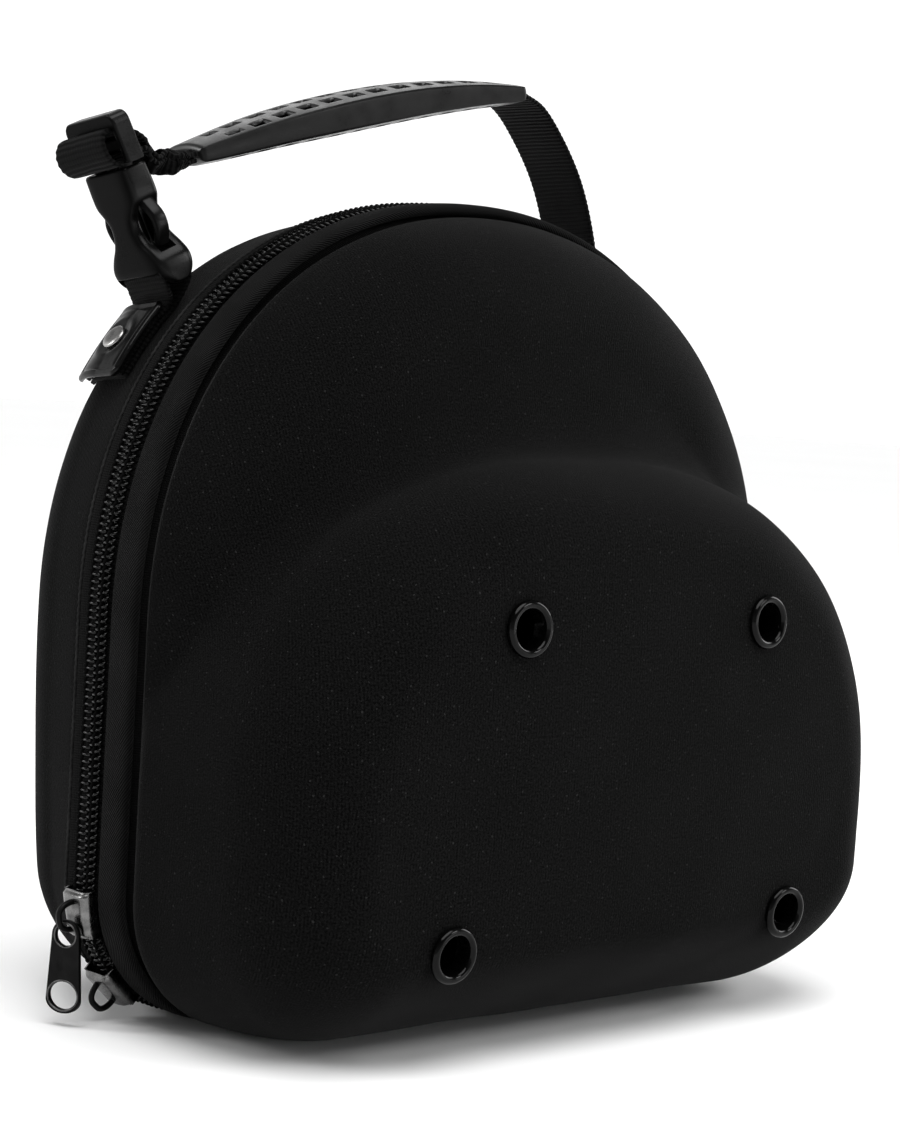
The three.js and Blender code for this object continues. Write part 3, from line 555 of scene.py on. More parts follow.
def waves(tree, length, pitch):
    """Sine of a length over a pitch, from 0 to 1."""
    sine = maths(tree, "SINE", maths(tree, "MULTIPLY", length, TAU / pitch))
    return maths(tree, "MULTIPLY_ADD", sine, 0.5, 0.5)


def noise(tree, where, size, detail=2.0, rough=0.5):
    """Noise with features of about the given size in metres."""
    return step(tree, "TexNoise", Vector=where, Scale=1 / size, Detail=detail, Roughness=rough)


def between(tree, factor, low, high, start=0.0, end=1.0):
    """Factor from start to end carried over to a value from low to high."""
    return step(tree, "MapRange", **{"Value": factor, "From Min": start, "From Max": end,
                                     "To Min": low, "To Max": high})


def shades(tree, factor, dark, light, start=0.0, end=1.0, bright=None):
    """Colour between two tones by a factor, and on to a bright one at 1 where it is given."""
    node = tree.nodes.new("ShaderNodeValToRGB")
    tree.links.new(factor, node.inputs[0])
    for element, at, tone in zip(node.color_ramp.elements, (start, end), (dark, light)):
        element.position, element.color = at, (*tone, 1)
    if bright is not None:
        node.color_ramp.elements.new(1.0).color = (*bright, 1)
    return node.outputs[0]


def dress(tree, shader, color, roughness, height, depth, strength):
    """Links a colour, a roughness and the bump of a height over a depth in metres to the shader."""
    normal = step(tree, "Bump", Strength=strength, Distance=depth, Height=height)
    for key, socket in (("Base Color", color), ("Roughness", roughness), ("Normal", normal)):
        tree.links.new(socket, shader.inputs[key])
    return normal


def shell_cloth():
    """Fine black knit: loops as grain over faint upright wales, cloudy patches and a little pale lint.

    The back half has crosswise courses too, as relief alone.
    """
    m, t, s = finish("shell_cloth", grey(0.004), 0.95, specular_ior_level=0.02,
                     sheen_weight=0.042, sheen_roughness=0.35)
    uv, u, v = surface_lengths(t)
    drift = maths(t, "MULTIPLY", noise(t, uv, 0.006), 0.0012)
    wales = waves(t, maths(t, "ADD", u, drift), 0.0009)
    loops = noise(t, uv, 0.0006, 3.0, 0.7)
    knit = maths(t, "MULTIPLY_ADD", wales, 0.07, loops)
    at_back = between(t, step(t, "SeparateXYZ", out=1, i0=object_place(t)), 0.0, 0.16, 0.0, 0.01)
    courses = maths(t, "MULTIPLY", waves(t, maths(t, "ADD", v, drift), 0.0012), at_back)
    lint = maths(t, "GREATER_THAN", noise(t, uv, 0.0009, 0.0), 0.79)
    cloudy = maths(t, "MULTIPLY_ADD", noise(t, uv, 0.03, 3.0), 0.07, maths(t, "MULTIPLY", knit, 0.8))
    tone = maths(t, "MULTIPLY_ADD", lint, 0.5, cloudy)
    dress(t, s, shades(t, tone, grey(0.001), grey(0.0066), 0.36, 0.58, grey(0.018)),
          between(t, loops, 0.86, 1.0), maths(t, "ADD", knit, courses), 0.0003, 0.8)
    return m


def binding_knit():
    """Herringbone knit: slanted ribs that mirror along the middle of the strip."""
    m, t, s = finish("binding_knit", grey(0.003), 0.9, specular_ior_level=0.04,
                     sheen_weight=0.02, sheen_roughness=0.3)
    uv, u, v = surface_lengths(t)
    off = maths(t, "ABSOLUTE", maths(t, "SUBTRACT", v, 0.0052))
    slant = maths(t, "MULTIPLY_ADD", off, 1.5, u)
    ribs = waves(t, maths(t, "MULTIPLY_ADD", noise(t, uv, 0.003), 0.0004, slant), 0.0011)
    fuzz = noise(t, uv, 0.0003, 3.0)
    height = maths(t, "MULTIPLY_ADD", fuzz, 0.45, ribs)
    tone = maths(t, "MULTIPLY_ADD", noise(t, uv, 0.012), 0.5, maths(t, "MULTIPLY", ribs, 0.5))
    dress(t, s, shades(t, tone, grey(0.0004), grey(0.011), 0.2, 0.9), between(t, fuzz, 0.8, 0.97),
          height, 0.00034, 0.9)
    return m


def tape_cloth():
    """Plain woven tape: fine ribs across its length with a softer warp."""
    m, t, s = finish("tape_cloth", grey(0.004), 0.85, specular_ior_level=0.05)
    uv, u, v = surface_lengths(t)
    ribs, warp = waves(t, u, 0.00065), waves(t, v, 0.0005)
    fuzz = noise(t, uv, 0.0003, 3.0)
    height = maths(t, "MULTIPLY_ADD", warp, 0.6, maths(t, "MULTIPLY_ADD", fuzz, 0.5, ribs))
    dress(t, s, shades(t, height, grey(0.0015), grey(0.008), 0.2, 2.0), between(t, fuzz, 0.75, 0.92),
          height, 0.00018, 0.7)
    return m


def webbing():
    """Ribbed webbing: raised cross ribs, each one nicked by the warp, with fuzz."""
    m, t, s = finish("webbing", grey(0.003), 0.85, specular_ior_level=0.07,
                     sheen_weight=0.02, sheen_roughness=0.3)
    uv, u, v = surface_lengths(t)
    ribs = waves(t, maths(t, "MULTIPLY_ADD", noise(t, uv, 0.004), 0.0004, u), 0.0013)
    warp = waves(t, v, 0.0011)
    fuzz = noise(t, uv, 0.0003, 3.0)
    height = maths(t, "MULTIPLY_ADD", fuzz, 0.35, maths(t, "MULTIPLY_ADD", warp, 0.1, ribs))
    tone = maths(t, "MULTIPLY_ADD", noise(t, uv, 0.01), 0.4, maths(t, "MULTIPLY", height, 0.4))
    dress(t, s, shades(t, tone, grey(0.0008), grey(0.0075), 0.2, 1.0), between(t, fuzz, 0.75, 0.95),
          height, 0.0005, 1.0)
    return m


def moulded(name, dark, light, rough, grain, depth, gloss):
    """Moulded or enamelled piece: cloudy tone, uneven gloss and a fine grain."""
    m, t, s = finish(name, grey(light), rough, specular_ior_level=gloss)
    where = object_place(t)
    cloud, speck = noise(t, where, 0.009, 4.0, 0.6), noise(t, where, grain, 3.0, 0.6)
    dulled = maths(t, "MULTIPLY_ADD", speck, 0.6, cloud)
    dress(t, s, shades(t, cloud, grey(dark), grey(light), 0.3, 0.75),
          between(t, dulled, rough * 0.75, rough * 1.3, 0.5, 1.1), speck, depth, 0.6)
    return m


def buckle_plastic():
    """Black plastic with matt broad faces and polished edges.

    They are told apart by how far they face across the buckle.
    """
    m = moulded("buckle_plastic", 0.001, 0.0028, 0.3, 0.0006, 0.00001, 0.06)
    t = m.node_tree
    facing = maths(t, "ABSOLUTE", along_way(t, step(t, "TexCoord", out=1), tuple(BUCKLE_OUT)))
    gloss = between(t, facing, 0.14, 0.012, 0.35, 0.9)
    t.links.new(gloss, t.nodes["Principled BSDF"].inputs["Specular IOR Level"])
    return m


def patch_gloss():
    """Patent leather: black under a clear coat, with fine creases and a soft orange-peel."""
    m, t, s = finish("patch_gloss", grey(0.003), 0.4, specular_ior_level=0.03,
                     coat_weight=0.22, coat_roughness=0.05)
    where = object_place(t)
    crease = step(t, "TexVoronoi", {"feature": "DISTANCE_TO_EDGE"}, Vector=where, Scale=420.0)
    soft = noise(t, where, 0.004, 2.0)
    height = maths(t, "MULTIPLY_ADD", soft, 1.2, maths(t, "MULTIPLY", crease, 0.5))
    bumped = dress(t, s, shades(t, soft, grey(0.001), grey(0.004), 0.3, 0.7),
                   between(t, soft, 0.25, 0.45), height, 0.00009, 0.6)
    t.links.new(bumped, s.inputs["Coat Normal"])
    return m


def plated(name, dark, light, rough, scratch):
    """Plated metal: clouded tone, fine scratches one way and small dulled spots."""
    m, t, s = finish(name, light, rough, metallic=1.0)
    where = object_place(t)
    drawn = step(t, "Mapping", Vector=where, Scale=(1.0, 1.0, 0.12))
    lines, cloud = noise(t, drawn, scratch, 3.0, 0.6), noise(t, where, 0.004, 3.0)
    dulled = maths(t, "MULTIPLY_ADD", lines, 0.7, cloud)
    dress(t, s, shades(t, cloud, dark, light, 0.3, 0.7),
          between(t, dulled, rough * 0.7, rough * 1.5, 0.5, 1.2), lines, 0.00003, 0.5)
    return m


def grip_rubber():
    """Grey rubber, cloudy and scuffed, with glossy crowns, and slots that are matt and darkened with painted
    shade.

    The first UV length is how deep a point is sunk, which darkens the colour as painted shade, and the second
    how far it is on a crown.
    """
    m, t, s = finish("grip_rubber", grey(0.01), 0.35, specular_ior_level=0.2)
    sunk, rise = surface_lengths(t)[1:]
    where = object_place(t)
    cloud, speck = noise(t, where, 0.007, 4.0, 0.6), noise(t, where, 0.0005, 3.0, 0.6)
    # Painted shade: the colour darkens with how deep a point is sunk, standing in for the shade inside the
    # slots.
    tone = maths(t, "SUBTRACT", cloud, maths(t, "MULTIPLY", sunk, 450.0))
    dulled = maths(t, "MULTIPLY_ADD", speck, 0.6, cloud)
    dress(t, s, shades(t, tone, grey(0.0003), grey(0.009), 0.0, 0.8),
          between(t, dulled, 0.22, 0.5, 0.5, 1.1), speck, 0.000014, 0.6)
    crowned, open_face = between(t, rise, 0.1, 0.6, 0.0, 0.001), between(t, sunk, 1.0, 0.0, 0.0, 0.001)
    t.links.new(maths(t, "MULTIPLY", crowned, open_face), s.inputs["Specular IOR Level"])
    return m


CLOTH, BINDING, TAPE, WEBBING, PATENT = shell_cloth(), binding_knit(), tape_cloth(), webbing(), patch_gloss()
RUBBER, PLASTIC = grip_rubber(), buckle_plastic()
COIL = moulded("coil_nylon", 0.0015, 0.004, 0.2, 0.0006, 0.00004, 0.26)
ENAMEL = moulded("eyelet_enamel", 0.0008, 0.002, 0.1, 0.0005, 0.00002, 0.12)
# Pale cord: its light tone is a painted highlight along the back tape's edge.
EDGE_CORD_HIGHLIGHT = moulded("edge_cord_highlight", 0.007, 0.026, 0.8, 0.0003, 0.0001, 0.04)
THREAD = moulded("stitch_thread", 0.0006, 0.0025, 0.8, 0.0003, 0.0001, 0.04)
GUNMETAL = plated("slider_metal", grey(0.06), grey(0.22, 0.01), 0.24, 0.0004)
PULL_METAL = plated("pull_metal", grey(0.007), grey(0.014), 0.42, 0.0004)
PULL_EDGE = plated("pull_edge", grey(0.05), grey(0.12, 0.01), 0.28, 0.0003)
NICKEL = plated("rivet_metal", grey(0.26, 0.01), grey(0.42, 0.02), 0.3, 0.0004)


# Shells


def moulded_shell(name, forms, rim, facing, outer_degrees, inner_degrees):
    """A closed cup: outer cloth rolled in at its rim, the rim's edge and a lining, on the same columns.

    The roll is a quarter circle of the distance to the rim.
    """
    outer = shell_surface(forms, 0, rim, facing, outer_degrees)
    plain = shell_surface(forms[:1], 0, rim, facing, outer_degrees)
    outer = plain + (outer - plain) * smoothstep(0, RIM_BLEND, np.abs(outer[..., 1:2]) - rim)
    fan = unit(outer - [0, facing * rim, FAN_Z])
    from_rim = np.abs(outer[..., 1]) - rim
    roll = RIM_ROLL * (1 - quarter_round(np.maximum(0, from_rim / ROLL_LONG)))
    outer = outer + fan * (smoothstep(2, 14, from_rim) * unevenness(outer) - roll)[..., None]
    inner = shell_surface(forms, WALL, rim, facing, inner_degrees)
    edge = np.stack([outer[0], inner[0]])
    return add_piece(name, [(outer, cloth_uv(outer)), (inner, cloth_uv(inner)), edge], CLOTH)


def face_depth(x, z):
    """Depth of the bulge's face in front of the zip."""
    return halving(lambda d: is_inside(FORMS["bulge"], 0, x, d, z), 0, FAN_FAR, np.shape(x))


def eyelet_axes(x, z):
    """Seat of an eyelet on the face: its middle and three axes, the last one out of the cloth."""
    dx, dz = np.array([0, 0.5, -0.5, 0, 0]), np.array([0, 0, 0, 0.5, -0.5])
    d = face_depth(x + dx, z + dz)
    out = unit([-(d[1] - d[2]), -1, -(d[3] - d[4])])
    across = unit(np.cross([0, 0, 1], out))
    return np.array([x, -d[0], z]), across, np.cross(out, across), out


def front_shell():
    """Dome and bulge, bored for the eyelets."""
    shell = moulded_shell("front_shell", ("dome", "bulge"), FRONT_RIM, -1, front_degrees(26, 76),
                          front_degrees(8, 18))
    rod = turned([(HOLE_R, -14), (HOLE_R, 10)], 40)
    bored(shell, [set_at(rod, *eyelet_axes(x, z)) for x, z in EYELETS.values()])


def back_shell():
    """The plain back half."""
    angles = lambda rows: (90 * np.linspace(0, 1, rows) ** 1.25)[:, None]
    moulded_shell("back_shell", ("back",), BACK_RIM, 1, angles(84), angles(20))


def eyelets():
    """Rolled rims: a half round over the bore and down to the cloth, with a barrel through the wall."""
    a = np.linspace(np.pi, 0, 15)
    rim = together(EYELET_R + EYELET_ROLL * np.cos(a), EYELET_SEAT + EYELET_RISE * np.sin(a))
    bore, barrel = [(5.1, -5), (5.0, -3), (5.0, 0.4)], [(7.35, 0.45), (5.8, 0.35), (5.8, -5), (5.1, -5)]
    ring = turned(np.concatenate([bore, rim, barrel]), 56)
    for name, (x, z) in EYELETS.items():
        add_piece(name, [set_at(ring, *eyelet_axes(x, z))], ENAMEL)


# Zip band


def band(name, section, material, slot, stations):
    """A closed section of (y, lift) carried once round the outline."""
    run = np.linspace(0, ROUND, stations + 1)[:, None]
    points = off_outline(run, section[:, 0], section[:, 1])
    add_piece(name, [(points, together(run, lengths_of(section)))], material)


def zip_tapes():
    """Two tapes under the coil: the front one dips in under its shell, the back one rises to a cord whose
    pale tone is a painted highlight along its edge.
    """
    for name, (low, high) in TAPES.items():
        section = rounded_section((high - low) / 2, TAPE_HALF_THICK, 40, 0.45)
        section = section + [(low + high) / 2, TAPE_LIFT - TAPE_HALF_THICK]
        rise = TAPE_RISE * smoothstep(3.4, 7.6, section[:, 0])
        section[:, 1] += rise - TAPE_DIP * smoothstep(11.5, 15.5, -section[:, 0])
        band(name, section, TAPE, "tape_cloth", 420)
    # The cord's pale tone is a painted highlight along the back tape's edge.
    turns = int(ROUND / COIL_PITCH)
    t = np.arange(turns * 8 + 1) / 8
    path = off_outline(t * ROUND / turns, CORD_Y, CORD_LIFT + CORD_WAVE * np.cos(TAU * t))
    add_piece("tape_cord", [tube(path, [0, 1, 0], CORD_R, 7)], EDGE_CORD_HIGHLIGHT, extra=True)


def binding():
    """Knitted binding strip with a full round section."""
    edge, sides = FRONT_RIM - GAP, 36
    section = rounded_section((edge - BINDING_END) / 2, BINDING_THICK / 2, sides, 0.72)
    section = section + [-(edge + BINDING_END) / 2, BINDING_LIFT - BINDING_THICK / 2]
    from_below = np.roll(section[:-1], -27, axis=0)[np.r_[0:sides, 0]]
    band("binding", from_below, BINDING, "binding_knit", 640)


def coil(name, side, phase):
    """Nylon coil: a round wire wound as a flattened helix along the zip, its heads reaching past the middle.

    The angle runs once a turn, cosine sets the place across the zip and sine the lift.
    """
    t = np.arange(ZIP_TURNS * 14 + 1) / 14
    a = TAU * t
    run = ZIP_END + COIL_PITCH * (t + phase) + 0.2 * COIL_PITCH * np.sin(a)
    path = off_outline(run, side * (COIL_Y + COIL_HALF * np.cos(a)), COIL_LIFT + np.sin(a))
    along = off_outline(run + 0.1, 0, 0) - off_outline(run - 0.1, 0, 0)
    points = tube(path, unit(along), COIL_WIRE, 6)
    start, end = (np.broadcast_to(p, (1, *points.shape[1:])) for p in (path[0], path[-1]))
    add_piece(name, [np.concatenate([start, points, end])], COIL)


def zip_threads():
    """Sewing thread over the middle of each coil: a round section that rises and dips with the turns."""
    t = np.arange(ZIP_TURNS * 8 + 1) / 8
    grids = []
    for side, phase in ((-1, 0.25), (1, 0.75)):
        lift = THREAD_LIFT + THREAD_WAVE * np.cos(TAU * (t - phase))
        path = off_outline(ZIP_END + COIL_PITCH * t, side * THREAD_Y, lift)
        grids.append(tube(path, [0, 1, 0], THREAD_R, 7))
    add_piece("zip_threads", grids, THREAD, capped=True, extra=True)


def base_hinge():
    """Cloth strip under the base: a rounded flat section carried along X, with rounded ends."""
    x = HINGE_HALF_LONG * np.sin(np.linspace(-np.pi / 2, np.pi / 2, 60))[:, None]
    close = np.maximum(0, 1 - (np.abs(x) / HINGE_HALF_LONG) ** 24) ** 0.5
    y, z = rounded_section(HINGE_HALF_WIDE, HINGE_HALF_THICK, 32, 0.4).T
    points = together(x, HINGE_Y + close * y, HINGE_HALF_THICK + close * z)
    add_piece("base_hinge", [points], BINDING)


front_shell()
back_shell()
eyelets()
zip_tapes()
binding()
coil("zip_coil_front", -1, 0.0)
coil("zip_coil_back", 1, 0.5)
zip_threads()
base_hinge()

# Handle


def shoulder(degrees, y, lift, side):
    """Points off the back shell's shoulder.

    They lie in from the arch along its normal as far as the cloth, then out by a lift.
    """
    degrees, y, lift = np.broadcast_arrays(*(np.asarray(v, float) for v in (degrees, y, lift)))
    p, n = arch(degrees)
    spot = lambda d: (p[..., 0] - n[..., 0] * d, p[..., 1] - n[..., 1] * d)
    outside = lambda d: ~is_inside(FORMS["back"], 0, spot(d)[0], y, spot(d)[1])
    x, z = spot(halving(outside, 0, 24, degrees.shape) - lift)
    return together(side * x, y, z)


def slab_loop():
    """Loop round a slab as (place across, height): an even top, half-round edges and a plain underside."""
    bend = np.radians(np.linspace(90, 270, 11))
    left = together(-SLAB_FLAT + SLAB_EDGE * np.cos(bend), 0.5 + 0.5 * np.sin(bend))
    top = together(np.linspace(SLAB_FLAT, -SLAB_FLAT, 64), 1.0)
    under = together(np.linspace(-SLAB_FLAT, SLAB_FLAT, 12), 0.0)
    return np.concatenate([top, left[1:-1], under, left[-2:0:-1] * [-1, 1], top[:1]])


def patch(name, rivet, lift, side):
    """Patent patch: a slab over the shoulder with rounded corners, a raised border and a dimpled rivet.

    The top's height is a sum of bell curves: of the distance to the rivet, and of the distance to the edge.
    """
    long = MM_PER_DEGREE * (PATCH_TO - PATCH_FROM)
    u = (0.5 - 0.5 * np.cos(np.linspace(0, np.pi, 84)))[:, None]
    from_end = long * np.minimum(u, 1 - u)
    half = PATCH_WIDTH / 2 - PATCH_CORNER * (1 - quarter_round(from_end / PATCH_CORNER))
    thin = np.sqrt(np.maximum(0.02, quarter_round(from_end / PATCH_EDGE) ** 2))
    across, height = slab_loop().T
    y = half * across
    bell = lambda value, middle, wide: np.exp(-(((value - middle) / wide) ** 2))
    away = np.hypot(y, (u - 0.5) * long)
    from_edge = np.minimum(half - np.abs(y), from_end)
    border = 0.35 * bell(from_edge, 1.3, 0.6) - 0.2 * bell(from_edge, 2.6, 0.7)
    swell = border + 0.35 * bell(away, 6.8, 1.4) - 0.8 * bell(away, 0, 4.8)
    high = PATCH_THICK * (0.5 + thin * (height - 0.5)) + np.where(height > 0.9, swell, 0)
    points = shoulder(PATCH_FROM + (PATCH_TO - PATCH_FROM) * u, HANDLE_Y + y, lift + high, side)
    add_piece(name, [points], PATENT, capped=True)
    middle = (PATCH_FROM + PATCH_TO) / 2
    at, ahead, above = (shoulder(middle + d, HANDLE_Y + e, lift + PATCH_THICK - 0.7, side)
                        for d, e in ((0, 0), (0, -1), (1, 0)))
    out = unit(np.cross(ahead - at, above - at)) * -side
    level = unit(np.cross([0, 1, 0], out))
    a = np.linspace(0, np.pi / 2, 14)
    dome = together(3.65 * np.cos(a) ** 0.5, 0.75 + 0.75 * np.sin(a))
    head = turned(np.concatenate([[(0, 0), (3.3, 0), (3.6, 0.3)], dome]), 48)
    add_piece(rivet, [set_at(head, at, level, np.cross(out, level), out)], NICKEL)


def web(name, control, count, gather=None):
    """Webbing: paths at nine places across its width, a flat rounded section carried along them.

    The edges are scalloped by a small sine of the run, one wave to every turn of the weft.
    """
    sheet = np.stack([spline(control(part), count) for part in np.linspace(-0.5, 0.5, 9)], axis=1)
    if gather is not None:
        sheet = gather(sheet)
    normal = unit(np.cross(np.gradient(sheet, axis=0), np.gradient(sheet, axis=1)))
    part, height = rounded_section(0.5, WEB_THICK / 2, 44, 0.3).T
    run = lengths_of(sheet[:, 4])[:, None]
    wave = 1 + 0.016 * np.sin(TAU * run / WEFT_PITCH) * (np.abs(part) > 0.44)
    across = np.clip((part + 0.5) * 8, 0, 8)
    i = np.minimum(across.astype(int), 7)
    mix = lambda table: table[:, i] + (table[:, i + 1] - table[:, i]) * (across - i)[:, None]
    middle = sheet[:, 4:5]
    points = middle + (mix(sheet) - middle) * wave[..., None] + mix(normal) * height[:, None]
    add_piece(name, [(points, together(run, WEB_WIDTH * part))], WEBBING, capped=True)


def across_web(part):
    """Place along Y of a part across the webbing."""
    return HANDLE_Y + part * WEB_WIDTH


def on_shoulder(part, degrees, layers, side):
    """Webbing that lies on a shoulder, over the layers already there."""
    lift = layers * (WEB_THICK + GAP) + GAP + WEB_THICK / 2
    return shoulder(degrees, across_web(part), lift, side)


def near_buckle(part, up, out):
    """Points by the buckle: part across the webbing, height up the buckle and distance out of its face."""
    across = BUCKLE_AT - part * WEB_WIDTH * BUCKLE_FRONT
    return across + up[:, None] * BUCKLE_UP + out[:, None] * BUCKLE_OUT


def tab_loop():
    """Webbing tab: up the shoulder, over the socket's bar and down again on top of itself."""
    out, up = np.array([(-3.8, -2), (-3.6, 1.2), (0, 3.3), (3.6, 1.2), (3.8, -2)]).T
    web("tab_webbing", lambda part: np.concatenate([
        on_shoulder(part, [32, 36, 41, 45.8], 0, -1),
        near_buckle(part, SOCKET_BAR_UP + up, out),
        on_shoulder(part, [45.2, 41, 36, 32], 1, -1),
    ]), 150)


def gathered(sheet):
    """Crumples the doubled strap where it is tacked, with folds that run along it and twist a little."""
    x = sheet[..., 0]
    near = smoothstep(-91, -85, x) * (1 - 0.75 * smoothstep(-77, -72, x))
    part = (sheet[..., 1] - HANDLE_Y) / TACK_WIDTH
    folds = 1.9 * np.cos(4.6 * np.pi * part + 0.22 * x) + 0.6 * np.sin(1.1 * x + 6 * part) - 0.8
    moved = sheet.copy()
    moved[..., 2] += near * folds
    moved[..., 1] += near * 0.8 * np.sin(0.8 * x + 5 * part)
    return moved


def strap_left():
    """Doubled strap from the grip round the plug's bar, and the thread that tacks its layers together."""
    x, z = GRIP_PATH[0]
    layer = (WEB_THICK + GAP) / 2
    out, up = np.array([(-5.8, -0.8), (-3, 2.1), (0.4, 2.7), (3.4, 4), (6.4, 4.4), (8.6, 1.9),
                        (8.6, -1.9), (6.4, -4.6), (3.4, -4.4), (0.4, -2.7), (-3, -3.2), (-5.8, -3.8)]).T
    skew = lambda part: np.where(out > 3, 0.86 + 0.3 * part, 1)
    beside = lambda part, rows: [(x + dx, HANDLE_Y + part * TACK_WIDTH, z + dz) for dx, dz in rows]
    web("strap_left", lambda part: np.concatenate([
        beside(part, [(-0.8, layer), (-4, layer - 0.6), (-9, -1.0), (-14, -1.5)]),
        near_buckle(1.04 * part, PLUG_BAR_UP + up, out * skew(part)),
        beside(part, [(-14, -3.2), (-9, -2.8), (-4, -layer - 0.6), (-0.8, -layer)]),
    ]), 210, gathered)
    a = np.linspace(0, 3.5 * TAU, 120)
    ring = together(TACK_X + 0.12 * a + 0.4 * np.sin(2.3 * a), HANDLE_Y + TACK_HALF_WIDE * np.cos(a),
                    TACK_Z + (TACK_HALF_HIGH + 0.3 * np.sin(5 * a)) * np.sin(a))
    add_piece("tack_thread", [tube(ring, [1, 0, 0], TACK_R, 7)], THREAD, capped=True, extra=True)


def strap_right():
    """Single strap from under the right patch up to the grip's end."""
    x, z = GRIP_PATH[-1]
    web("strap_right", lambda part: np.concatenate([
        on_shoulder(part, [32, 36, 40, 44, 46], 0, 1),
        np.insert(RIGHT_RUN, 1, across_web(part), axis=1),
        [(x + 0.5, across_web(part), z)],
    ]), 170)


def grip_loop():
    """Loop round the grip as (place across, side of the band, crown).

    It is crowned above and below by a parabola, and nearly flat at the sides.
    """
    across = np.linspace(1, -1, 64)
    face = together(across, 1.0, 1 - across**2)
    band = np.linspace(1, -1, 10)[1:-1]
    side = together(-1 - 0.03 * (1 - band**2), band, 0.0)
    return np.concatenate([face, side, face[::-1] * [1, -1, -1], side[::-1] * [-1, 1, 1], face[:1]])


def grip():
    """Rubber grip: a flat-sided band with crowned faces that swells to the middle, slotted in both faces.

    A slot is a smooth box in the run along the grip and the place across it, sunk into the face.
    """
    path = spline(GRIP_PATH, 300)
    run = lengths_of(path)[:, None]
    long = run[-1]
    dx, dz = tangents(path).T[..., None]
    swell = np.sin(np.pi * run / long) ** 0.8
    band, crown = 1.9 + 1.9 * swell, 1.1 + 0.9 * swell
    end = np.minimum(run, long - run)
    close = quarter_round(end / GRIP_END)
    across, side, bow = grip_loop().T
    tip = GRIP_TIP_WIDTH + (GRIP_WIDTH - GRIP_TIP_WIDTH) * smoothstep(-0.1, 0.4, run / long)
    w = tip * (0.43 + 0.07 * close) * across
    h = (band * side + crown * bow) * (0.55 + 0.45 * close)
    rows = np.zeros_like(w)
    for middle, stagger in SLOT_ROWS:
        phase = np.abs((run / SLOT_PITCH + stagger) % 1 - 0.5) * SLOT_PITCH
        lengthwise = 1 - smoothstep(SLOT_LONG / 2 - 0.35, SLOT_LONG / 2 + 0.35, phase)
        crosswise = 1 - smoothstep(SLOT_WIDE / 2 - 0.3, SLOT_WIDE / 2 + 0.3, np.abs(w - middle))
        rows = np.maximum(rows, lengthwise * crosswise)
    face = (np.abs(side) == 1) & (np.abs(w) < tip / 2 - 1.2)
    sunk = np.minimum(SLOT_DEEP, 0.6 * (band + crown)) * rows * smoothstep(7, 9, end) * face
    h = h - np.sign(h) * sunk
    points = together(path[:, :1] - dz * h, HANDLE_Y + w, path[:, 1:] + dx * h)
    # The first UV length carries the slot depth, which the rubber paints as shade in the slots.
    uv = together(sunk, smoothstep(0, 0.15, np.abs(bow)))
    add_piece("grip", [(points, uv)], RUBBER, capped=True)


# Buckle


def corners(x0, x1, y0, y1):
    """The four corners of a rectangle."""
    return np.array([(x0, y0), (x1, y0), (x1, y1), (x0, y1)], float)


def buckle_socket():
    """Socket: a squarish section carried up the buckle, waisted at the squeeze windows, flared below.

    Its low sides run on as two rounded lugs that hold the bar, past the ends of its front and back.
    """
    y = np.concatenate([[SOCKET_LOW, -17.2], np.linspace(-16.9, 15.4, 160), [15.7, SOCKET_HIGH]])[:, None]
    side = spline(SOCKET_SIDE, 240)
    w = np.interp(y, side[:, 1], side[:, 0])
    t = np.interp(y, [-11, -8, 0, 6, SOCKET_HIGH], [6.2, 6.0, 5.3, 4.8, 4.4])
    t = t * np.sqrt(np.maximum(0.06, 1 - (np.maximum(0, -11 - y) / 6.5) ** 2))
    close = np.sqrt(np.maximum(0.1, 1 - (np.maximum(0, np.abs(y + 0.75) - 15.75) / 0.85) ** 2))
    edge = SOCKET_EDGE * (1 - close)
    across, out = rounded_section(1, 1, 72, 0.34).T
    points = set_at(together((w - edge) * across, y, (t - edge) * out), *BUCKLE_AXES)
    socket = add_piece("buckle_socket", [points], PLASTIC, capped=True)
    box = lambda *size: np.stack([np.c_[corners(*size[:4]), np.full(4, depth)][[0, 1, 2, 3, 0]]
                                  for depth in (-size[4], size[4])])
    bored(socket, [set_at(box(*size), *BUCKLE_AXES) for size in SOCKET_HOLLOWS])
    rod = together(np.linspace(-11.3, 11.3, 8), SOCKET_BAR_UP, 0.0)
    bar = set_at(tube(rod, [0, 0, 1], 1.5, 20), *BUCKLE_AXES)
    add_piece("buckle_bar", [bar], PLASTIC, capped=True, extra=True)


def buckle_plug():
    """Plug: a ladder frame for the webbing, a middle guide and two sprung arms bowed into the windows."""
    half, rail = SOCKET_HALF, SOCKET_LONG / 2 + GAP
    inner = half - FRAME_SIDE
    bend = np.linspace(0, np.pi / 2, 7)
    round_off = together(np.cos(bend), np.sin(bend)) * PLUG_CORNER
    right_top = [half - PLUG_CORNER, PLUG_TOP - PLUG_CORNER] + round_off
    outer = np.concatenate([[(-half, rail), (half, rail)], right_top, right_top[::-1] * [-1, 1]])
    windows = [corners(-inner, inner, rail + 1.2, PLUG_BAR_UP - PLUG_BAR_HALF),
               corners(-inner, inner, PLUG_BAR_UP + PLUG_BAR_HALF, PLUG_TOP - 4.8)]
    flat_plate("buckle_plug", [outer, *windows], PLUG_THICK, 0.7, BUCKLE_AXES, PLASTIC)
    arm = spline(PLUG_ARM, 60)
    across, out = rounded_section(1.4, 1.9, 28, 0.5).T
    x, y = arm.T[..., None]
    dx, dy = tangents(arm).T[..., None]
    forms = [together(way * (x + dy * across), y - dx * across, out) for way in (-1, 1)]
    forms.append(together(across, np.linspace(17.2, -5, 24)[:, None], out))
    grids = [set_at(points, *BUCKLE_AXES) for points in forms]
    add_piece("buckle_arms", grids, PLASTIC, capped=True, extra=True)


# Sliders and pull


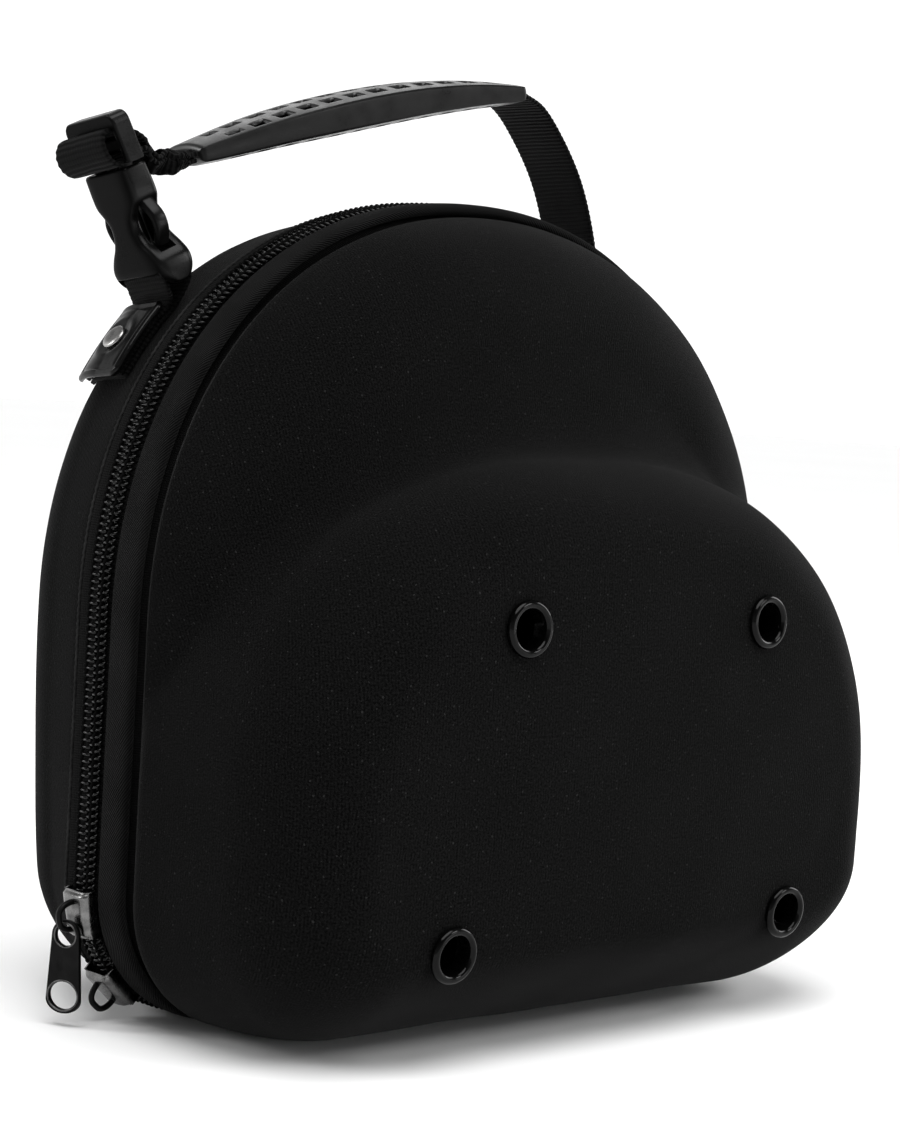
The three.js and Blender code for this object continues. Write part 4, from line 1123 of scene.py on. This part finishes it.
def slider(name, degrees):
    """Slider: an upside-down U section carried along the zip, wider at the nose, and a wire bail over it."""
    a = np.radians(degrees)
    out = np.array([-np.cos(a), 0, -np.sin(a)])
    seat = np.array([-(CASE_HALF - CORNER_R), 0, CORNER_R]) + CORNER_R * out
    axes = (seat, np.array([0.0, 1.0, 0.0]), out, np.cross([0, 1, 0], out))
    z = SLIDER_HALF_LONG * np.sin(np.linspace(-np.pi / 2, np.pi / 2, 40))[:, None]
    w = SLIDER_HALF_WIDE + SLIDER_FLARE * smoothstep(-3, 4.5, z)
    drop = 1.1 * smoothstep(4.6, SLIDER_HALF_LONG, np.abs(z)) ** 2
    bend = np.linspace(0, np.pi / 2, 9)
    right = np.concatenate([
        [(SLIDER_INSIDE, SLIDER_ROOF, 0), (SLIDER_INSIDE, SLIDER_FOOT, 0), (0, SLIDER_FOOT, 1)],
        together(2.4 * np.cos(bend) - 2.4, SLIDER_TOP - 2 + 2 * np.sin(bend), 1.0),
        [(1.2, SLIDER_TOP + 0.15, 0)],
    ])
    across, height, at_side = np.concatenate([right, right[::-1] * [-1, 1, -1], right[:1]]).T
    points = together(across + at_side * w, height - drop * (height > SLIDER_ROOF + 0.1), z)
    add_piece(name, [set_at(points, *axes)], GUNMETAL, capped=True)
    t = np.linspace(0, np.pi, 40)
    arc = together(0.0, SLIDER_TOP - 0.75 + BAIL_RISE * np.sin(t) ** 0.8,
                   BAIL_HALF * np.sign(np.cos(t)) * np.abs(np.cos(t)) ** 0.7)
    wire = set_at(tube(arc, [1, 0, 0], BAIL_WIRE, 12), *axes)
    add_piece(name + "_bail", [wire], PULL_METAL, capped=True, extra=True)


def ellipse(y, rx, ry, count=48):
    """Points once round an ellipse at a height."""
    a = closed_loop(count)[:-1]
    return together(rx * np.cos(a), y + ry * np.sin(a))


def pull():
    """Pull: a tapering plate with a round eye above and an oval eye below, both with bright rims."""
    turn = np.radians(PULL_TURN)
    width, up = np.array([np.sin(turn), -np.cos(turn), 0]), np.array([0.0, 0.0, 1.0])
    axes = (PULL_AT, width, up, np.cross(width, up))
    a = np.linspace(0, np.pi, 25)
    outer = np.concatenate([together(4 * np.cos(a), UPPER_EYE + 4 * np.sin(a)),
                            together(-5 * np.cos(a), -20.3 - 3.6 * np.sin(a))])
    eyes = [ellipse(UPPER_EYE, 2.8, 2.8), ellipse(LOWER_EYE, 4.1, 3.6)]
    flat_plate("pull", [outer, *eyes], PULL_THICK, PULL_EDGE_R, axes, PULL_METAL, "pull")
    b = closed_loop(8)[:, None]
    once_round = np.r_[0:64, 0]
    grids = []
    for y, rx, ry in ((UPPER_EYE, 3.15, 3.15), (LOWER_EYE, 4.42, 3.95)):
        line = ellipse(y, rx, ry, 64)[once_round]
        outward = unit(np.c_[line - [0, y], np.zeros(len(line))])[:, None]
        for face in (-RIM_OFF, RIM_OFF):
            ring = np.c_[line, np.full(len(line), face)][:, None]
            points = ring + RIM_WIRE * (np.cos(b) * outward + np.sin(b) * [0, 0, 1.0])
            grids.append(set_at(points, *axes))
    add_piece("pull_rims", grids, PULL_EDGE, extra=True, body="pull")


patch("tab_patch", "tab_rivet", 2 * (WEB_THICK + GAP) + GAP, -1)
patch("patch_right", "rivet_right", WEB_THICK + 2 * GAP, 1)
tab_loop()
strap_left()
strap_right()
grip()
buckle_socket()
buckle_plug()
slider("slider_upper", 10)
slider("slider_lower", 46)
pull()

# Floor, light and camera, in metres

FLOOR_HALF = 6
SUN_STRENGTH, SUN_SPREAD, SUN_TILT = 3.0, 50, (14, -10, 0)
EYE_AT = (-550.988, -605.972, 178.334)
EYE_TURN, EYE_HEIGHT, EYE_ROLL = -42.8433, 4.0284, 3.2656
LENS, SENSOR = 92.84, 36

# Soft boxes: place, aim, width, height and watts

SOFT_BOXES = {
    "key": ((0.8, -1.5, 1.2), (0, 0, 0.1), 0.6, 0.6, 12),
    "fill": ((1.4, -0.4, 0.7), (0, 0, 0.1), 0.6, 0.8, 8),
    "low": ((0.7, -1.7, 0.2), (0, -0.08, 0.06), 0.8, 0.4, 4),
    "crest": ((0.8, 1.0, 1.2), (0, 0.03, 0.24), 1.0, 0.8, 3.5),
    "edge": ((-1.2, 0.9, 0.8), (0, 0, 0.1), 0.4, 0.6, 8),
}


def floor():
    """Plain pale floor, a little uneven in tone."""
    m, t, s = finish("pale_floor", grey(0.9), 0.7, specular_ior_level=0.2)
    t.links.new(shades(t, noise(t, object_place(t), 0.5), grey(0.89), grey(0.92)), s.inputs["Base Color"])
    mesh = bpy.data.meshes.new("floor")
    ring = corners(-FLOOR_HALF, FLOOR_HALF, -FLOOR_HALF, FLOOR_HALF)
    mesh.from_pydata(np.c_[ring, np.zeros(4)].tolist(), [], [(0, 1, 2, 3)])
    mesh.materials.append(m)
    plane = bpy.data.objects.new("floor", mesh)
    bpy.context.scene.collection.objects.link(plane)


def lamp(name, at, aim, wide, high, watts):
    """Soft box: an area light at a place, turned to a point."""
    data = bpy.data.lights.new(name, "AREA")
    data.shape, data.size, data.size_y, data.energy = "RECTANGLE", wide, high, watts
    light = bpy.data.objects.new(name, data)
    light.location = at
    light.rotation_mode = "QUATERNION"
    light.rotation_quaternion = (Vector(aim) - Vector(at)).to_track_quat("-Z", "Y")
    bpy.context.scene.collection.objects.link(light)


def studio():
    """White backdrop that dims towards the zenith and the front left, and a wide soft light from above."""
    world = bpy.data.worlds.new("studio")
    world.use_nodes = True
    t = world.node_tree
    way = step(t, "TexCoord")
    dimmed_up = between(t, step(t, "SeparateXYZ", out=2, i0=way), 1.15, 0.15, 0.12, 0.55)
    dimmed_ahead = between(t, along_way(t, way, (0.68, 0.73, 0.0)), 0.35, 1.0, -1.0, 0.3)
    backdrop = t.nodes["Background"]
    t.links.new(maths(t, "MULTIPLY", dimmed_up, dimmed_ahead), backdrop.inputs["Strength"])
    backdrop.inputs["Color"].default_value = (1, 1, 1, 1)
    bpy.context.scene.world = world
    data = bpy.data.lights.new("overhead", "SUN")
    data.energy, data.angle = SUN_STRENGTH, np.radians(SUN_SPREAD)
    light = bpy.data.objects.new("overhead", data)
    light.rotation_euler = np.radians(SUN_TILT)
    bpy.context.scene.collection.objects.link(light)


def camera():
    """Camera at the photograph's angle: azimuth, height and roll about the line of sight."""
    az, el, roll = np.radians([EYE_TURN, EYE_HEIGHT, EYE_ROLL])
    back = np.array([np.sin(az) * np.cos(el), -np.cos(az) * np.cos(el), np.sin(el)])
    right = np.array([np.cos(az), np.sin(az), 0])
    up = np.cross(back, right)
    x_axis = np.cos(roll) * right + np.sin(roll) * up
    y_axis = np.cos(roll) * up - np.sin(roll) * right
    data = bpy.data.cameras.new("camera")
    data.lens, data.sensor_width, data.clip_start = LENS, SENSOR, 0.05
    eye = bpy.data.objects.new("camera", data)
    turn = np.eye(4)
    turn[:3, :3] = np.stack([x_axis, y_axis, back], axis=1)
    turn[:3, 3] = np.array(EYE_AT) * MM
    eye.matrix_world = Matrix(turn.tolist())
    bpy.context.scene.collection.objects.link(eye)
    bpy.context.scene.camera = eye


floor()
for box_name, box in SOFT_BOXES.items():
    lamp(box_name, *box)
studio()
bpy.context.scene.view_settings.view_transform = "Standard"
camera()
